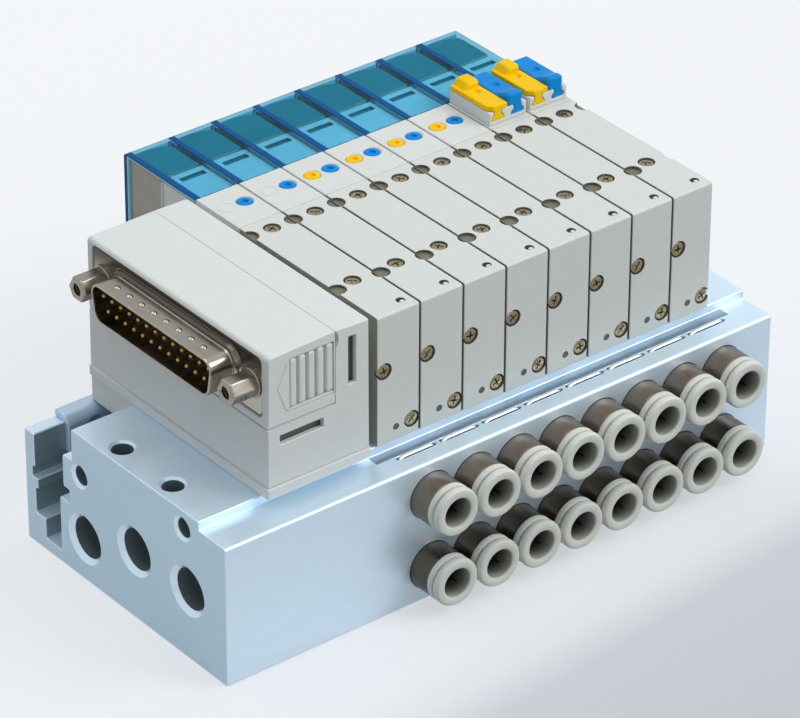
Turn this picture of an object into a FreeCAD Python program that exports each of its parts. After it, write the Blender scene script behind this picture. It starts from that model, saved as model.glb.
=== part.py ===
import FreeCAD, Part
import math
import os

V = FreeCAD.Vector

# Pneumatic valve island: eight solenoid valves on an aluminium manifold base,
# push-in tube fittings in front, a multi-pin plug at the left end.
# Lengths are in millimetres. The origin is the middle of the underside.
# X runs along the row, away from the plug end. The fittings face -Y.

# Row of valves
STATIONS = 8
PITCH = 10.5
STATION_GAP = 0.3
ROW_START = 41.75
FITTING_SHIFT = 1.9

# Manifold base section
BASE_LENGTH = 135.5
LEDGE_HEIGHT = 30.9
LEDGE_DEPTH = 8.3
STEP_RISE = 1.9
BLOCK_DEPTH = 49.2
CHANNEL_WIDTH = 12.6
SHELF_REACH = 3.1
SHELF_HEIGHT = 25.6
SHELF_THICK = 7.3
GROOVE_HEIGHT = 3.0
GROOVE_REACH = 1.1
FOOT_REACH = 4.4
FLOOR_THICK = 2.8
REAR_HEIGHT = 25.3
REAR_WALL = 3.2
HEEL_REACH = 3.1
HEEL_HEIGHT = 7.3
TOOTH_REACH = 0.9
TOOTH_LOW = 13.0
TOOTH_HIGH = 15.3
TOOTH_GROOVE = 2.4
EDGE_CHAMFER = 0.5

# Ports and holes of the base
PORT_R = 4.4
PORT_MOUTH_R = 6.0
PORT_MOUTH_DEEP = 0.4
PORT_DEPTH = 12.0
FRONT_PORT_Y = 12.25
MIDDLE_PORT_Y = 29.25
REAR_PORT_Y = 45.6
HIGH_PORT_Z = 15.3
LOW_PORT_Z = 9.4
PILOT_PORT_R = 2.0
PILOT_PORT_DEPTH = 6.0
FRONT_PILOT_Y = 13.5
FRONT_PILOT_Z = 28.6
REAR_PILOT_Y = 46.7
REAR_PILOT_Z = 23.2
MOUNT_HOLE_R = 2.25
MOUNT_HOLE_INSET = 4.0
MOUNT_HOLE_Y1 = 21.6
MOUNT_HOLE_Y2 = 37.8

# Tube fittings
UPPER_FITTING_Z = 23.4
LOWER_FITTING_Z = 7.4
SLEEVE_R = 5.05
SLEEVE_PROUD = 6.2
RING_R = 5.05
RING_HEAD = 1.5
RING_TRAVEL = 0.6
RING_NECK_R = 4.0
RING_CLEAR = 0.05
RING_END_GAP = 0.3
TUBE_R = 3.1

# Retaining clips over the fittings
CLIP_Y = 4.7
CLIP_THICK = 1.2
CLIP_GAP = 1.1
CLIP_LEG = 1.5
CLIP_DROP = 3.4
CLIP_PROUD = 0.25

# Valve bodies
VALVE_OVERHANG = 0.4
VALVE_TOP = 61.3
VALVE_REAR = 50.75
VALVE_LAND = 48.6
VALVE_EDGE_R = 0.5
NOTCH_R = 1.85
NOTCH_DEEP = 0.6
FRONT_NOTCH_SHIFT = 0.9
FRONT_NOTCH_Y = 21.0
REAR_NOTCH_Y = 47.1
GASKET_THICK = 0.8
GASKET_INSET = 1.2
GASKET_CLEAR = 0.1

# Pilot sections behind the valves
CASE_GAP = 0.12
CASE_BOTTOM = 34.5
CASE_REAR = 64.8
CASE_TAIL = 76.4
COIL_REAR = 87.0
COIL_SIDE = 0.55
COIL_BOTTOM = 36.0
COVER_THICK = 1.1
COVER_REAR = 88.5
COVER_BOTTOM = 38.0
COVER_BEND_R = 0.9
COVER_GAP = 0.15

# Push overrides
BUTTON_R = 1.65
BUTTON_CLEAR = 0.05
BUTTON_LONG = 3.0
BUTTON_SUNK = 0.05
BUTTON_TRAVEL = 1.0
BUTTON_Y = 58.6
RIGHT_BUTTON_X = 7.4
LEFT_BUTTON_X = 2.9

# Slide-locking overrides on the last two valves
HOLDER_FRONT = 52.0
HOLDER_REAR = 64.7
HOLDER_WALL = 2.9
HOLDER_FLOOR = 0.8
HOLDER_SIDE = 0.3
SLOT_NECK = 2.0
SLOT_FOOT = 3.2
SLOT_FOOT_HEIGHT = 0.7
SLOT_SHOULDER = 0.6
SLIDER_CLEAR = 0.08
SLIDER_PLATE = 1.1
SLIDER_PLATE_GAP = 0.1
SLIDER_SPLIT = 0.2
WING_LONG = 2.4
RAMP_LONG = 4.6
TAB_TOP = 1.1
TAB_HIGH = 1.8
TAB_INSET = 0.4
WING_INSET = 1.2

# Plug housing
HOUSING_LEFT = 14.9
HOUSING_RIGHT = 38.9
HOUSING_FRONT = 6.4
HOUSING_REAR_INSET = 1.7
HOUSING_TOP = 63.5
FLANGE_THICK = 2.2
FLANGE_LIP = 0.5
HOUSING_DROP_GAP = 0.1
HOUSING_EDGE_R = 1.0
BLOCK_WIDE = 15.9
BLOCK_HIGH = 15.5
SEAM = 0.12
SIDE_SLOT_X = 33.9
SIDE_SLOT_WIDE = 1.8
SIDE_SLOT_LOW = 50.7
SIDE_SLOT_HIGH = 61.1
LOW_SLOT_X = 17.8
LOW_SLOT_LONG = 10.2
LOW_SLOT_Z = 43.7
LOW_SLOT_HIGH = 2.0
SLOT_DEEP = 3.0

# Hinge of the plug block
HINGE_INSET = 1.9
BLOCK_EDGE_R = 0.5
PIN_R = 0.7
PIN_CLEAR = 0.05
EAR_R = 1.1
EAR_LONG = 6.0
EAR_WIDE = 3.0
EAR_SIDE = 0.15
EAR_MARGIN = 9.0
PIN_END = 4.5

# Release button
RELEASE_LEFT = 20.2
RELEASE_WIDE = 10.2
RELEASE_LOW = 50.2
RELEASE_HIGH = 61.4
RELEASE_THICK = 2.4
RELEASE_CLEAR = 0.12
RELEASE_TRAVEL = 1.0
RIB_COUNT = 5
RIB_PITCH = 2.1
RIB_GROOVE = 1.0
RIB_DEEP = 0.45
RIB_MARGIN = 0.8

# Multi-pin plug
PLUG_Z = 56.1
JACK_SPACING = 47.04
PLATE_END = 3.0
PLATE_HIGH = 12.55
PLATE_THICK = 1.0
SHELL_LONG = 38.96
SHELL_HIGH = 8.36
SHELL_PROUD = 5.9
SHELL_WALL = 0.6
SHELL_CORNER_R = 2.4
SHELL_SLANT = 10.0
INSERT_PROUD = 1.2
PIN_PITCH = 2.77
ROW_SPACING = 2.84
LONG_ROW = 13
PLUG_PIN = 1.0
PLUG_PIN_PROUD = 4.9
JACK_FLATS = 4.75
JACK_LONG = 6.2
JACK_HOLE_R = 1.3
JACK_HOLE_DEEP = 5.0

# Rear bracket
BRACKET_THICK = 1.5
BRACKET_LEFT = 7.2
BRACKET_RIGHT = 37.0
BRACKET_DEEP = 8.0
BRACKET_BEND_R = 2.5
BRACKET_HOLE_R = 2.25
BRACKET_HOLE_X = 13.6
BRACKET_HOLE_DROP = 4.0

BASE_DEPTH = BLOCK_DEPTH + CHANNEL_WIDTH + REAR_WALL
PLATE_LONG = JACK_SPACING + 2 * PLATE_END
PLATEAU = LEDGE_HEIGHT + STEP_RISE
VALVE_FRONT = LEDGE_DEPTH - VALVE_OVERHANG
VALVE_WIDTH = PITCH - STATION_GAP
COVER_TOP = VALVE_TOP
CASE_TAIL_TOP = COVER_TOP - COVER_THICK
HOUSING_REAR = BASE_DEPTH - HOUSING_REAR_INSET
HOUSING_DROP = REAR_HEIGHT + BRACKET_THICK + HOUSING_DROP_GAP
HINGE_X = HOUSING_LEFT + BLOCK_WIDE - HINGE_INSET
HINGE_Z = HOUSING_TOP - HINGE_INSET
BLOCK_LOW = HOUSING_TOP - BLOCK_HIGH
CORNER_SWING = math.sqrt(2) * (HINGE_INSET - BLOCK_EDGE_R) + BLOCK_EDGE_R + SEAM
BLOCK_RIGHT = HOUSING_LEFT + BLOCK_WIDE
PLUG_Y = (HOUSING_FRONT + HOUSING_REAR) / 2
EAR_FRONT = HOUSING_FRONT + EAR_MARGIN
EAR_REAR = HOUSING_REAR - EAR_MARGIN - EAR_WIDE
HOLDER_TOP = VALVE_TOP + HOLDER_WALL


def at(x, y, z):
    """A point given from the base's left end, front face and underside."""
    return V(x - BASE_LENGTH / 2, y - BASE_DEPTH / 2, z)


def box(x0, x1, y0, y1, z0, z1):
    return Part.makeBox(x1 - x0, y1 - y0, z1 - z0, at(x0, y0, z0))


def rod(radius, x, y, z, direction, length):
    return Part.makeCylinder(radius, length, at(x, y, z), direction)


def tube(outer, inner, x, y, z, direction, length):
    """A plain ring: an outer cylinder less its bore."""
    return rod(outer, x, y, z, direction, length).cut(rod(inner, x, y, z, direction, length))


def along_x(section, x0, x1):
    """Extrude a closed section of (y, z) corners from x0 to x1."""
    corners = [at(x0, y, z) for y, z in section]
    return Part.Face(Part.makePolygon(corners + corners[:1])).extrude(V(x1 - x0, 0, 0))


def along_y(section, y0, y1):
    """Extrude a closed section of (x, z) corners from y0 to y1."""
    corners = [at(x, y0, z) for x, z in section]
    return Part.Face(Part.makePolygon(corners + corners[:1])).extrude(V(0, y1 - y0, 0))


def edges_where(solid, test):
    """The straight edges whose two ends both pass the test."""
    found = []
    for edge in solid.Edges:
        ends = [v.Point for v in edge.Vertexes]
        if len(ends) == 2 and test(ends[0]) and test(ends[1]):
            found.append(edge)
    return found


def near(value, goal):
    return abs(value - goal) < 0.001


def station_x(k):
    """Left boundary of valve k, counted from 0."""
    return ROW_START + k * PITCH


def valve_sides(k):
    left = station_x(k) + STATION_GAP / 2
    return left, left + VALVE_WIDTH


def fitting_x(k):
    return station_x(k) + PITCH / 2 + FITTING_SHIFT


def base_section():
    """The extruded section: block, shelf, wiring channel and rear wall."""
    wall = BASE_DEPTH - REAR_WALL
    shelf = BLOCK_DEPTH + SHELF_REACH
    shelf_low = SHELF_HEIGHT - SHELF_THICK
    groove = BLOCK_DEPTH + GROOVE_REACH
    groove_low = shelf_low - GROOVE_HEIGHT
    foot = BLOCK_DEPTH + FOOT_REACH
    heel = wall - HEEL_REACH
    tooth = wall - TOOTH_REACH
    return [
        (0, 0), (BASE_DEPTH, 0), (BASE_DEPTH, REAR_HEIGHT), (wall, REAR_HEIGHT),
        (wall, TOOTH_HIGH + TOOTH_GROOVE), (wall + TOOTH_REACH, TOOTH_HIGH + TOOTH_GROOVE),
        (wall + TOOTH_REACH, TOOTH_HIGH), (tooth, TOOTH_HIGH), (tooth, TOOTH_LOW),
        (wall, TOOTH_LOW), (wall, HEEL_HEIGHT), (heel, HEEL_HEIGHT), (heel, FLOOR_THICK),
        (foot, FLOOR_THICK), (foot, groove_low), (groove, groove_low), (groove, shelf_low),
        (shelf, shelf_low), (shelf, SHELF_HEIGHT), (BLOCK_DEPTH, SHELF_HEIGHT),
        (BLOCK_DEPTH, PLATEAU - EDGE_CHAMFER), (BLOCK_DEPTH - EDGE_CHAMFER, PLATEAU),
        (LEDGE_DEPTH, PLATEAU), (LEDGE_DEPTH, LEDGE_HEIGHT),
        (EDGE_CHAMFER, LEDGE_HEIGHT), (0, LEDGE_HEIGHT - EDGE_CHAMFER),
    ]


def end_port(y, z, end_x, inward):
    """A pipe port: a blind bore with a shallow conical mouth."""
    bore = Part.makeCylinder(PORT_R, PORT_DEPTH, at(end_x, y, z), V(inward, 0, 0))
    cone = Part.makeCone(PORT_MOUTH_R, PORT_R, PORT_MOUTH_DEEP, at(end_x, y, z),
                         V(inward, 0, 0))
    return bore.fuse(cone)


def clip_slot_edges(k):
    middle = fitting_x(k)
    reach = (PITCH - CLIP_GAP) / 2
    return middle - reach, middle + reach


def clip(k):
    """A flat staple: a bar on the ledge with two legs beside the sleeve."""
    x0, x1 = clip_slot_edges(k)
    top = LEDGE_HEIGHT + CLIP_PROUD
    low = LEDGE_HEIGHT - CLIP_DROP
    bar_low = top - CLIP_LEG
    section = [(x0, low), (x0 + CLIP_LEG, low), (x0 + CLIP_LEG, bar_low),
               (x1 - CLIP_LEG, bar_low), (x1 - CLIP_LEG, low), (x1, low), (x1, top), (x0, top)]
    return along_y(section, CLIP_Y - CLIP_THICK / 2, CLIP_Y + CLIP_THICK / 2)


def manifold_base():
    solid = along_x(base_section(), 0, BASE_LENGTH)
    cuts = []
    for end_x, inward in ((0, 1), (BASE_LENGTH, -1)):
        cuts.append(end_port(FRONT_PORT_Y, HIGH_PORT_Z, end_x, inward))
        cuts.append(end_port(MIDDLE_PORT_Y, HIGH_PORT_Z, end_x, inward))
        cuts.append(end_port(REAR_PORT_Y, LOW_PORT_Z, end_x, inward))
        for y, z in ((FRONT_PILOT_Y, FRONT_PILOT_Z), (REAR_PILOT_Y, REAR_PILOT_Z)):
            cuts.append(rod(PILOT_PORT_R, end_x, y, z, V(inward, 0, 0), PILOT_PORT_DEPTH))
        hole_x = end_x + inward * MOUNT_HOLE_INSET
        for y in (MOUNT_HOLE_Y1, MOUNT_HOLE_Y2):
            cuts.append(rod(MOUNT_HOLE_R, hole_x, y, 0, V(0, 0, 1), PLATEAU))
    for k in range(STATIONS):
        x0, x1 = clip_slot_edges(k)
        y0, y1 = CLIP_Y - CLIP_THICK / 2, CLIP_Y + CLIP_THICK / 2
        cuts.append(box(x0, x1, y0, y1, LEDGE_HEIGHT - CLIP_DROP, LEDGE_HEIGHT))
    return solid.cut(cuts)


def sleeve(x, z):
    """Metal sleeve of a push-in fitting, standing on the base's front face."""
    return tube(SLEEVE_R, RING_NECK_R + RING_CLEAR, x, -SLEEVE_PROUD, z, V(0, 1, 0), SLEEVE_PROUD)


def release_ring(x, z):
    """Release ring: a wide head and a neck that slides in the sleeve."""
    face = -SLEEVE_PROUD - RING_TRAVEL - RING_HEAD
    long = RING_HEAD + SLEEVE_PROUD - RING_END_GAP
    head = tube(RING_R, TUBE_R, x, face, z, V(0, 1, 0), RING_HEAD)
    neck = tube(RING_NECK_R, TUBE_R, x, face, z, V(0, 1, 0), long)
    return head.fuse(neck).removeSplitter()


def valve_body(k):
    """Valve body: rounded block with round notches shared by neighbours."""
    x0, x1 = valve_sides(k)
    solid = box(x0, x1, VALVE_FRONT, VALVE_REAR, PLATEAU, VALVE_TOP)
    front_y = VALVE_FRONT - BASE_DEPTH / 2
    rounded = edges_where(solid, lambda p: near(p.y, front_y))
    rounded = [e for e in rounded if not near(e.CenterOfMass.z, PLATEAU)]
    solid = solid.makeFillet(VALVE_EDGE_R, rounded)
    cuts = []
    for edge_x in (station_x(k), station_x(k) + PITCH):
        for x, y in ((edge_x + FRONT_NOTCH_SHIFT, FRONT_NOTCH_Y), (edge_x, REAR_NOTCH_Y)):
            cuts.append(rod(NOTCH_R, x, y, VALVE_TOP, V(0, 0, -1), NOTCH_DEEP))
    cuts.append(gasket_pocket(x0, x1))
    return solid.cut(cuts)


def gasket_pocket(x0, x1):
    y0, y1 = LEDGE_DEPTH + GASKET_INSET, VALVE_LAND - GASKET_INSET
    return box(x0 + GASKET_INSET, x1 - GASKET_INSET, y0, y1, PLATEAU, PLATEAU + GASKET_THICK)


def gasket(k):
    x0, x1 = valve_sides(k)
    y0, y1 = LEDGE_DEPTH + GASKET_INSET, VALVE_LAND - GASKET_INSET
    edge = GASKET_INSET + GASKET_CLEAR
    return box(x0 + edge, x1 - edge, y0 + GASKET_CLEAR, y1 - GASKET_CLEAR,
               PLATEAU, PLATEAU + GASKET_THICK)


def button_sites():
    """Each push override: its node name and centre in X."""
    sites = []
    for k in range(STATIONS - 2):
        sites.append(("blue_override_%d" % (k + 1), station_x(k) + RIGHT_BUTTON_X))
    for k in range(2, STATIONS - 2):
        sites.append(("yellow_override_%d" % (k + 1), station_x(k) + LEFT_BUTTON_X))
    return sites


def button(x):
    top = VALVE_TOP - BUTTON_SUNK
    return rod(BUTTON_R, x, BUTTON_Y, top, V(0, 0, -1), BUTTON_LONG)


def pilot_case(k):
    """Pilot section: an upper box with a lower tail under the lamp cover."""
    x0, x1 = valve_sides(k)
    y0 = VALVE_REAR + CASE_GAP
    section = [(y0, CASE_BOTTOM), (CASE_TAIL, CASE_BOTTOM), (CASE_TAIL, CASE_TAIL_TOP),
               (CASE_REAR, CASE_TAIL_TOP), (CASE_REAR, VALVE_TOP), (y0, VALVE_TOP)]
    solid = along_x(section, x0, x1)
    holes = []
    for _, x in button_sites():
        if x0 < x < x1:
            deep = BUTTON_SUNK + BUTTON_LONG + BUTTON_TRAVEL + BUTTON_CLEAR
            holes.append(rod(BUTTON_R + BUTTON_CLEAR, x, BUTTON_Y, VALVE_TOP, V(0, 0, -1), deep))
    return solid.cut(holes) if holes else solid


def pilot_coil(k):
    x0, x1 = valve_sides(k)
    y0 = CASE_TAIL
    return box(x0 + COIL_SIDE, x1 - COIL_SIDE, y0, COIL_REAR, COIL_BOTTOM, CASE_TAIL_TOP)


def lamp_cover(k):
    """Bent clear cover: a top plate, a round corner and a back plate."""
    x0 = station_x(k) + COVER_GAP / 2
    x1 = station_x(k) + PITCH - COVER_GAP / 2
    y0 = CASE_REAR + CASE_GAP
    back = COVER_REAR - COVER_THICK
    section = [(y0, COVER_TOP), (y0, COVER_TOP - COVER_THICK), (back, COVER_TOP - COVER_THICK),
               (back, COVER_BOTTOM), (COVER_REAR, COVER_BOTTOM), (COVER_REAR, COVER_TOP)]
    solid = along_x(section, x0, x1)
    back_y = COVER_REAR - BASE_DEPTH / 2
    corner = edges_where(solid, lambda p: near(p.y, back_y) and near(p.z, COVER_TOP))
    return solid.makeFillet(COVER_BEND_R, corner)


def slot_centres(k):
    """Middle of the left and right slots of a holder."""
    x0, x1 = valve_sides(k)
    quarter = (x1 - x0) / 4
    return x0 + quarter, x1 - quarter


def rail_section(middle, low, top, foot_top, neck, foot):
    """Upright stem that widens over a shoulder to its foot, seen from the front."""
    shoulder = foot_top + SLOT_SHOULDER
    right = [(foot / 2, low), (foot / 2, foot_top), (neck / 2, shoulder), (neck / 2, top)]
    left = [(-x, z) for x, z in reversed(right)]
    return [(middle + x, z) for x, z in right + left]


def slider_holder(k):
    x0, x1 = valve_sides(k)
    low = VALVE_TOP + HOLDER_FLOOR
    solid = box(x0 + HOLDER_SIDE, x1 - HOLDER_SIDE, HOLDER_FRONT, HOLDER_REAR,
                VALVE_TOP, HOLDER_TOP)
    slots = []
    for middle in slot_centres(k):
        section = rail_section(middle, low, HOLDER_TOP, low + SLOT_FOOT_HEIGHT,
                               SLOT_NECK, SLOT_FOOT)
        slots.append(along_y(section, HOLDER_FRONT, HOLDER_REAR))
    return solid.cut(slots)


def thumb_tab(side, left, right, plate_top):
    """Raised grip: an upright wing near the back, or a ramp that ends at the front."""
    top = plate_top + TAB_HIGH
    if side == 0:
        back = HOLDER_REAR - WING_INSET
        section = [(back - WING_LONG, plate_top), (back, plate_top), (back, top),
                   (back - TAB_TOP, top)]
    else:
        front = HOLDER_FRONT
        section = [(front, plate_top), (front + RAMP_LONG, plate_top), (front + TAB_TOP, top),
                   (front, top)]
    return along_x(section, left + TAB_INSET, right - TAB_INSET)


def slider(k, side):
    """Slide override: a footed rail under a flat plate with a raised thumb tab."""
    middle = slot_centres(k)[side]
    low = VALVE_TOP + HOLDER_FLOOR + SLIDER_CLEAR
    plate_low = HOLDER_TOP + SLIDER_PLATE_GAP
    plate_top = plate_low + SLIDER_PLATE
    foot_top = VALVE_TOP + HOLDER_FLOOR + SLOT_FOOT_HEIGHT - SLIDER_CLEAR
    section = rail_section(middle, low, plate_low, foot_top,
                           SLOT_NECK - 2 * SLIDER_CLEAR, SLOT_FOOT - 2 * SLIDER_CLEAR)
    rail = along_y(section, HOLDER_FRONT, HOLDER_REAR)
    x0, x1 = valve_sides(k)
    inner = (x0 + x1) / 2
    if side == 0:
        left, right = x0 + HOLDER_SIDE, inner - SLIDER_SPLIT / 2
    else:
        left, right = inner + SLIDER_SPLIT / 2, x1 - HOLDER_SIDE
    plate = box(left, right, HOLDER_FRONT, HOLDER_REAR, plate_low, plate_top)
    tab = thumb_tab(side, left, right, plate_top)
    return rail.fuse([plate, tab]).removeSplitter()


def housing_body():
    """The fixed part of the plug housing, with the notch for the tilting block."""
    foot = PLATEAU + FLANGE_THICK
    notch_right = BLOCK_RIGHT + SEAM
    notch_low = BLOCK_LOW - SEAM
    section = [(HOUSING_LEFT, foot), (HOUSING_RIGHT, foot), (HOUSING_RIGHT, HOUSING_TOP),
               (notch_right, HOUSING_TOP), (notch_right, notch_low), (HOUSING_LEFT, notch_low)]
    solid = along_y(section, HOUSING_FRONT, HOUSING_REAR)
    cuts = [box(SIDE_SLOT_X, SIDE_SLOT_X + SIDE_SLOT_WIDE, HOUSING_FRONT,
                HOUSING_FRONT + SLOT_DEEP, SIDE_SLOT_LOW, SIDE_SLOT_HIGH),
            box(LOW_SLOT_X, LOW_SLOT_X + LOW_SLOT_LONG, HOUSING_FRONT,
                HOUSING_FRONT + SLOT_DEEP, LOW_SLOT_Z, LOW_SLOT_Z + LOW_SLOT_HIGH),
            rod(CORNER_SWING, HINGE_X, HOUSING_FRONT, HINGE_Z, V(0, 1, 0),
                HOUSING_REAR - HOUSING_FRONT)]
    solid = solid.cut(cuts)
    return solid.fuse([hinge_ear(EAR_FRONT), hinge_ear(EAR_REAR)]).removeSplitter()


def hinge_ear(y):
    """Ear round the hinge pin, on an arm that stands off the housing wall below it."""
    wall = BLOCK_RIGHT + SEAM
    low = HINGE_Z - EAR_LONG
    root = HINGE_Z - CORNER_SWING
    section = [(HINGE_X - EAR_R, HINGE_Z), (HINGE_X - EAR_R, low), (wall, low), (wall, root),
               (HINGE_X + EAR_R, root), (HINGE_X + EAR_R, HINGE_Z)]
    arm = along_y(section, y, y + EAR_WIDE)
    disc = rod(EAR_R, HINGE_X, y, HINGE_Z, V(0, 1, 0), EAR_WIDE)
    bore = rod(PIN_R + PIN_CLEAR, HINGE_X, y, HINGE_Z, V(0, 1, 0), EAR_WIDE)
    return disc.fuse(arm).cut(bore)


def ear_slot(y):
    """Pocket in the block's inner side with room for one ear through the whole swing."""
    reach = EAR_R + EAR_SIDE
    low = HINGE_Z - math.hypot(EAR_LONG, EAR_R) - EAR_SIDE
    return box(HINGE_X - reach, BLOCK_RIGHT, y - EAR_SIDE, y + EAR_WIDE + EAR_SIDE,
               low, HINGE_Z + reach)


def housing_base():
    """Foot flange of the plug housing, with the deep part behind the block."""
    lip = FLANGE_LIP
    foot = PLATEAU + FLANGE_THICK
    plate = box(HOUSING_LEFT - lip, HOUSING_RIGHT + lip / 2, HOUSING_FRONT - lip,
                HOUSING_REAR, PLATEAU, foot)
    rear_y = BLOCK_DEPTH + SEAM
    rear = box(HOUSING_LEFT, HOUSING_RIGHT, rear_y, HOUSING_REAR, HOUSING_DROP, PLATEAU)
    return plate.fuse(rear).removeSplitter()


def connector_block():
    """Tilting block: it carries the plug and the release button."""
    solid = box(HOUSING_LEFT, BLOCK_RIGHT, HOUSING_FRONT, HOUSING_REAR, BLOCK_LOW, HOUSING_TOP)
    left = HOUSING_LEFT - BASE_LENGTH / 2
    right = BLOCK_RIGHT - BASE_LENGTH / 2
    outer = edges_where(solid, lambda p: near(p.x, left) and near(p.z, HOUSING_TOP))
    solid = solid.makeFillet(HOUSING_EDGE_R, outer)
    inner = edges_where(solid, lambda p: near(p.x, right))
    inner = [e for e in inner if near(e.Vertexes[0].Point.z, e.Vertexes[1].Point.z)]
    solid = solid.makeFillet(BLOCK_EDGE_R, inner)
    pin = rod(PIN_R, HINGE_X, HOUSING_FRONT + PIN_END, HINGE_Z, V(0, 1, 0),
              HOUSING_REAR - HOUSING_FRONT - 2 * PIN_END)
    cuts = [plate_outline(), pin, ear_slot(EAR_FRONT), ear_slot(EAR_REAR)]
    deep = RELEASE_THICK + RELEASE_TRAVEL + RELEASE_CLEAR
    c = RELEASE_CLEAR
    cuts.append(box(RELEASE_LEFT - c, RELEASE_LEFT + RELEASE_WIDE + c, HOUSING_FRONT,
                    HOUSING_FRONT + deep, RELEASE_LOW - c, RELEASE_HIGH + c))
    return solid.cut(cuts)


def hinge_pin():
    return rod(PIN_R, HINGE_X, HOUSING_FRONT + PIN_END, HINGE_Z, V(0, 1, 0),
               HOUSING_REAR - HOUSING_FRONT - 2 * PIN_END)


def release_button():
    """Push button with upright finger grooves."""
    y0, y1 = HOUSING_FRONT, HOUSING_FRONT + RELEASE_THICK
    solid = box(RELEASE_LEFT, RELEASE_LEFT + RELEASE_WIDE, y0, y1, RELEASE_LOW, RELEASE_HIGH)
    first = RELEASE_LEFT + (RELEASE_WIDE - (RIB_COUNT - 1) * RIB_PITCH) / 2
    grooves = []
    for k in range(RIB_COUNT):
        middle = first + k * RIB_PITCH
        grooves.append(box(middle - RIB_GROOVE / 2, middle + RIB_GROOVE / 2, y0, y0 + RIB_DEEP,
                           RELEASE_LOW + RIB_MARGIN, RELEASE_HIGH - RIB_MARGIN))
    return solid.cut(grooves)


def d_wire(x, inset):
    """D outline in a plane of constant x: the long side is on top."""
    half = SHELL_LONG / 2 - inset
    high = SHELL_HIGH / 2 - inset
    lean = 2 * high * math.tan(math.radians(SHELL_SLANT))
    corners = [at(x, PLUG_Y + y, PLUG_Z + z) for y, z in
               ((-half, high), (half, high), (half - lean, -high), (-half + lean, -high))]
    solid = Part.Face(Part.makePolygon(corners + corners[:1])).extrude(V(1, 0, 0))
    upright = [e for e in solid.Edges if near(e.Vertexes[0].Point.y, e.Vertexes[1].Point.y)
               and near(e.Vertexes[0].Point.z, e.Vertexes[1].Point.z)]
    return solid.makeFillet(SHELL_CORNER_R - inset, upright)


def d_prism(x0, x1, inset):
    """D-shaped prism from x0 to x1."""
    face = [f for f in d_wire(x0, inset).Faces
            if near(f.BoundBox.XMax, f.BoundBox.XMin)
            and near(f.BoundBox.XMin, x0 - BASE_LENGTH / 2)][0]
    return face.extrude(V(x1 - x0, 0, 0))


def plate_outline():
    return box(HOUSING_LEFT, HOUSING_LEFT + PLATE_THICK, PLUG_Y - PLATE_LONG / 2,
               PLUG_Y + PLATE_LONG / 2, PLUG_Z - PLATE_HIGH / 2, PLUG_Z + PLATE_HIGH / 2)


def dsub_shell():
    """Plated plug shell: a flat plate and a D-shaped collar."""
    collar = d_prism(HOUSING_LEFT - SHELL_PROUD, HOUSING_LEFT, 0)
    solid = plate_outline().fuse(collar)
    solid = solid.cut(d_prism(HOUSING_LEFT - SHELL_PROUD, HOUSING_LEFT + PLATE_THICK,
                              SHELL_WALL))
    return solid.removeSplitter()


def pin_sites():
    """Centres of the plug pins: the long row on top."""
    sites = []
    for row, count in ((1, LONG_ROW), (-1, LONG_ROW - 1)):
        for k in range(count):
            y = PLUG_Y + (k - (count - 1) / 2) * PIN_PITCH
            sites.append((y, PLUG_Z + row * ROW_SPACING / 2))
    return sites


def plug_pin(y, z):
    half = PLUG_PIN / 2
    return box(HOUSING_LEFT - PLUG_PIN_PROUD, HOUSING_LEFT - INSERT_PROUD,
               y - half, y + half, z - half, z + half)


def dsub_insert():
    return d_prism(HOUSING_LEFT - INSERT_PROUD, HOUSING_LEFT + PLATE_THICK, SHELL_WALL)


def jack_screw(side):
    """Hexagonal jack post with a threaded hole in its tip."""
    y = PLUG_Y + side * JACK_SPACING / 2
    tip = HOUSING_LEFT - JACK_LONG
    radius = JACK_FLATS / math.sqrt(3)
    corners = [at(tip, y + radius * math.cos(math.radians(60 * k)),
                  PLUG_Z + radius * math.sin(math.radians(60 * k))) for k in range(6)]
    post = Part.Face(Part.makePolygon(corners + corners[:1])).extrude(V(JACK_LONG, 0, 0))
    return post.cut(rod(JACK_HOLE_R, tip, y, PLUG_Z, V(1, 0, 0), JACK_HOLE_DEEP))


def channel_bracket():
    """Bent sheet hooked over the rear wall of the base."""
    top = REAR_HEIGHT + BRACKET_THICK
    wall = BASE_DEPTH - REAR_WALL
    face = wall - BRACKET_THICK
    low = top - BRACKET_DEEP
    section = [(BASE_DEPTH, REAR_HEIGHT), (BASE_DEPTH, top), (face, top), (face, low),
               (wall, low), (wall, REAR_HEIGHT)]
    solid = along_x(section, BRACKET_LEFT, BRACKET_RIGHT)
    face_y = face - BASE_DEPTH / 2
    bend = edges_where(solid, lambda p: near(p.y, face_y) and near(p.z, top))
    solid = solid.makeFillet(BRACKET_BEND_R, bend)
    hole = rod(BRACKET_HOLE_R, BRACKET_HOLE_X, face, top - BRACKET_HOLE_DROP,
               V(0, 1, 0), BRACKET_THICK)
    return solid.cut(hole)


def group(solids):
    return Part.makeCompound(solids)


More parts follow.
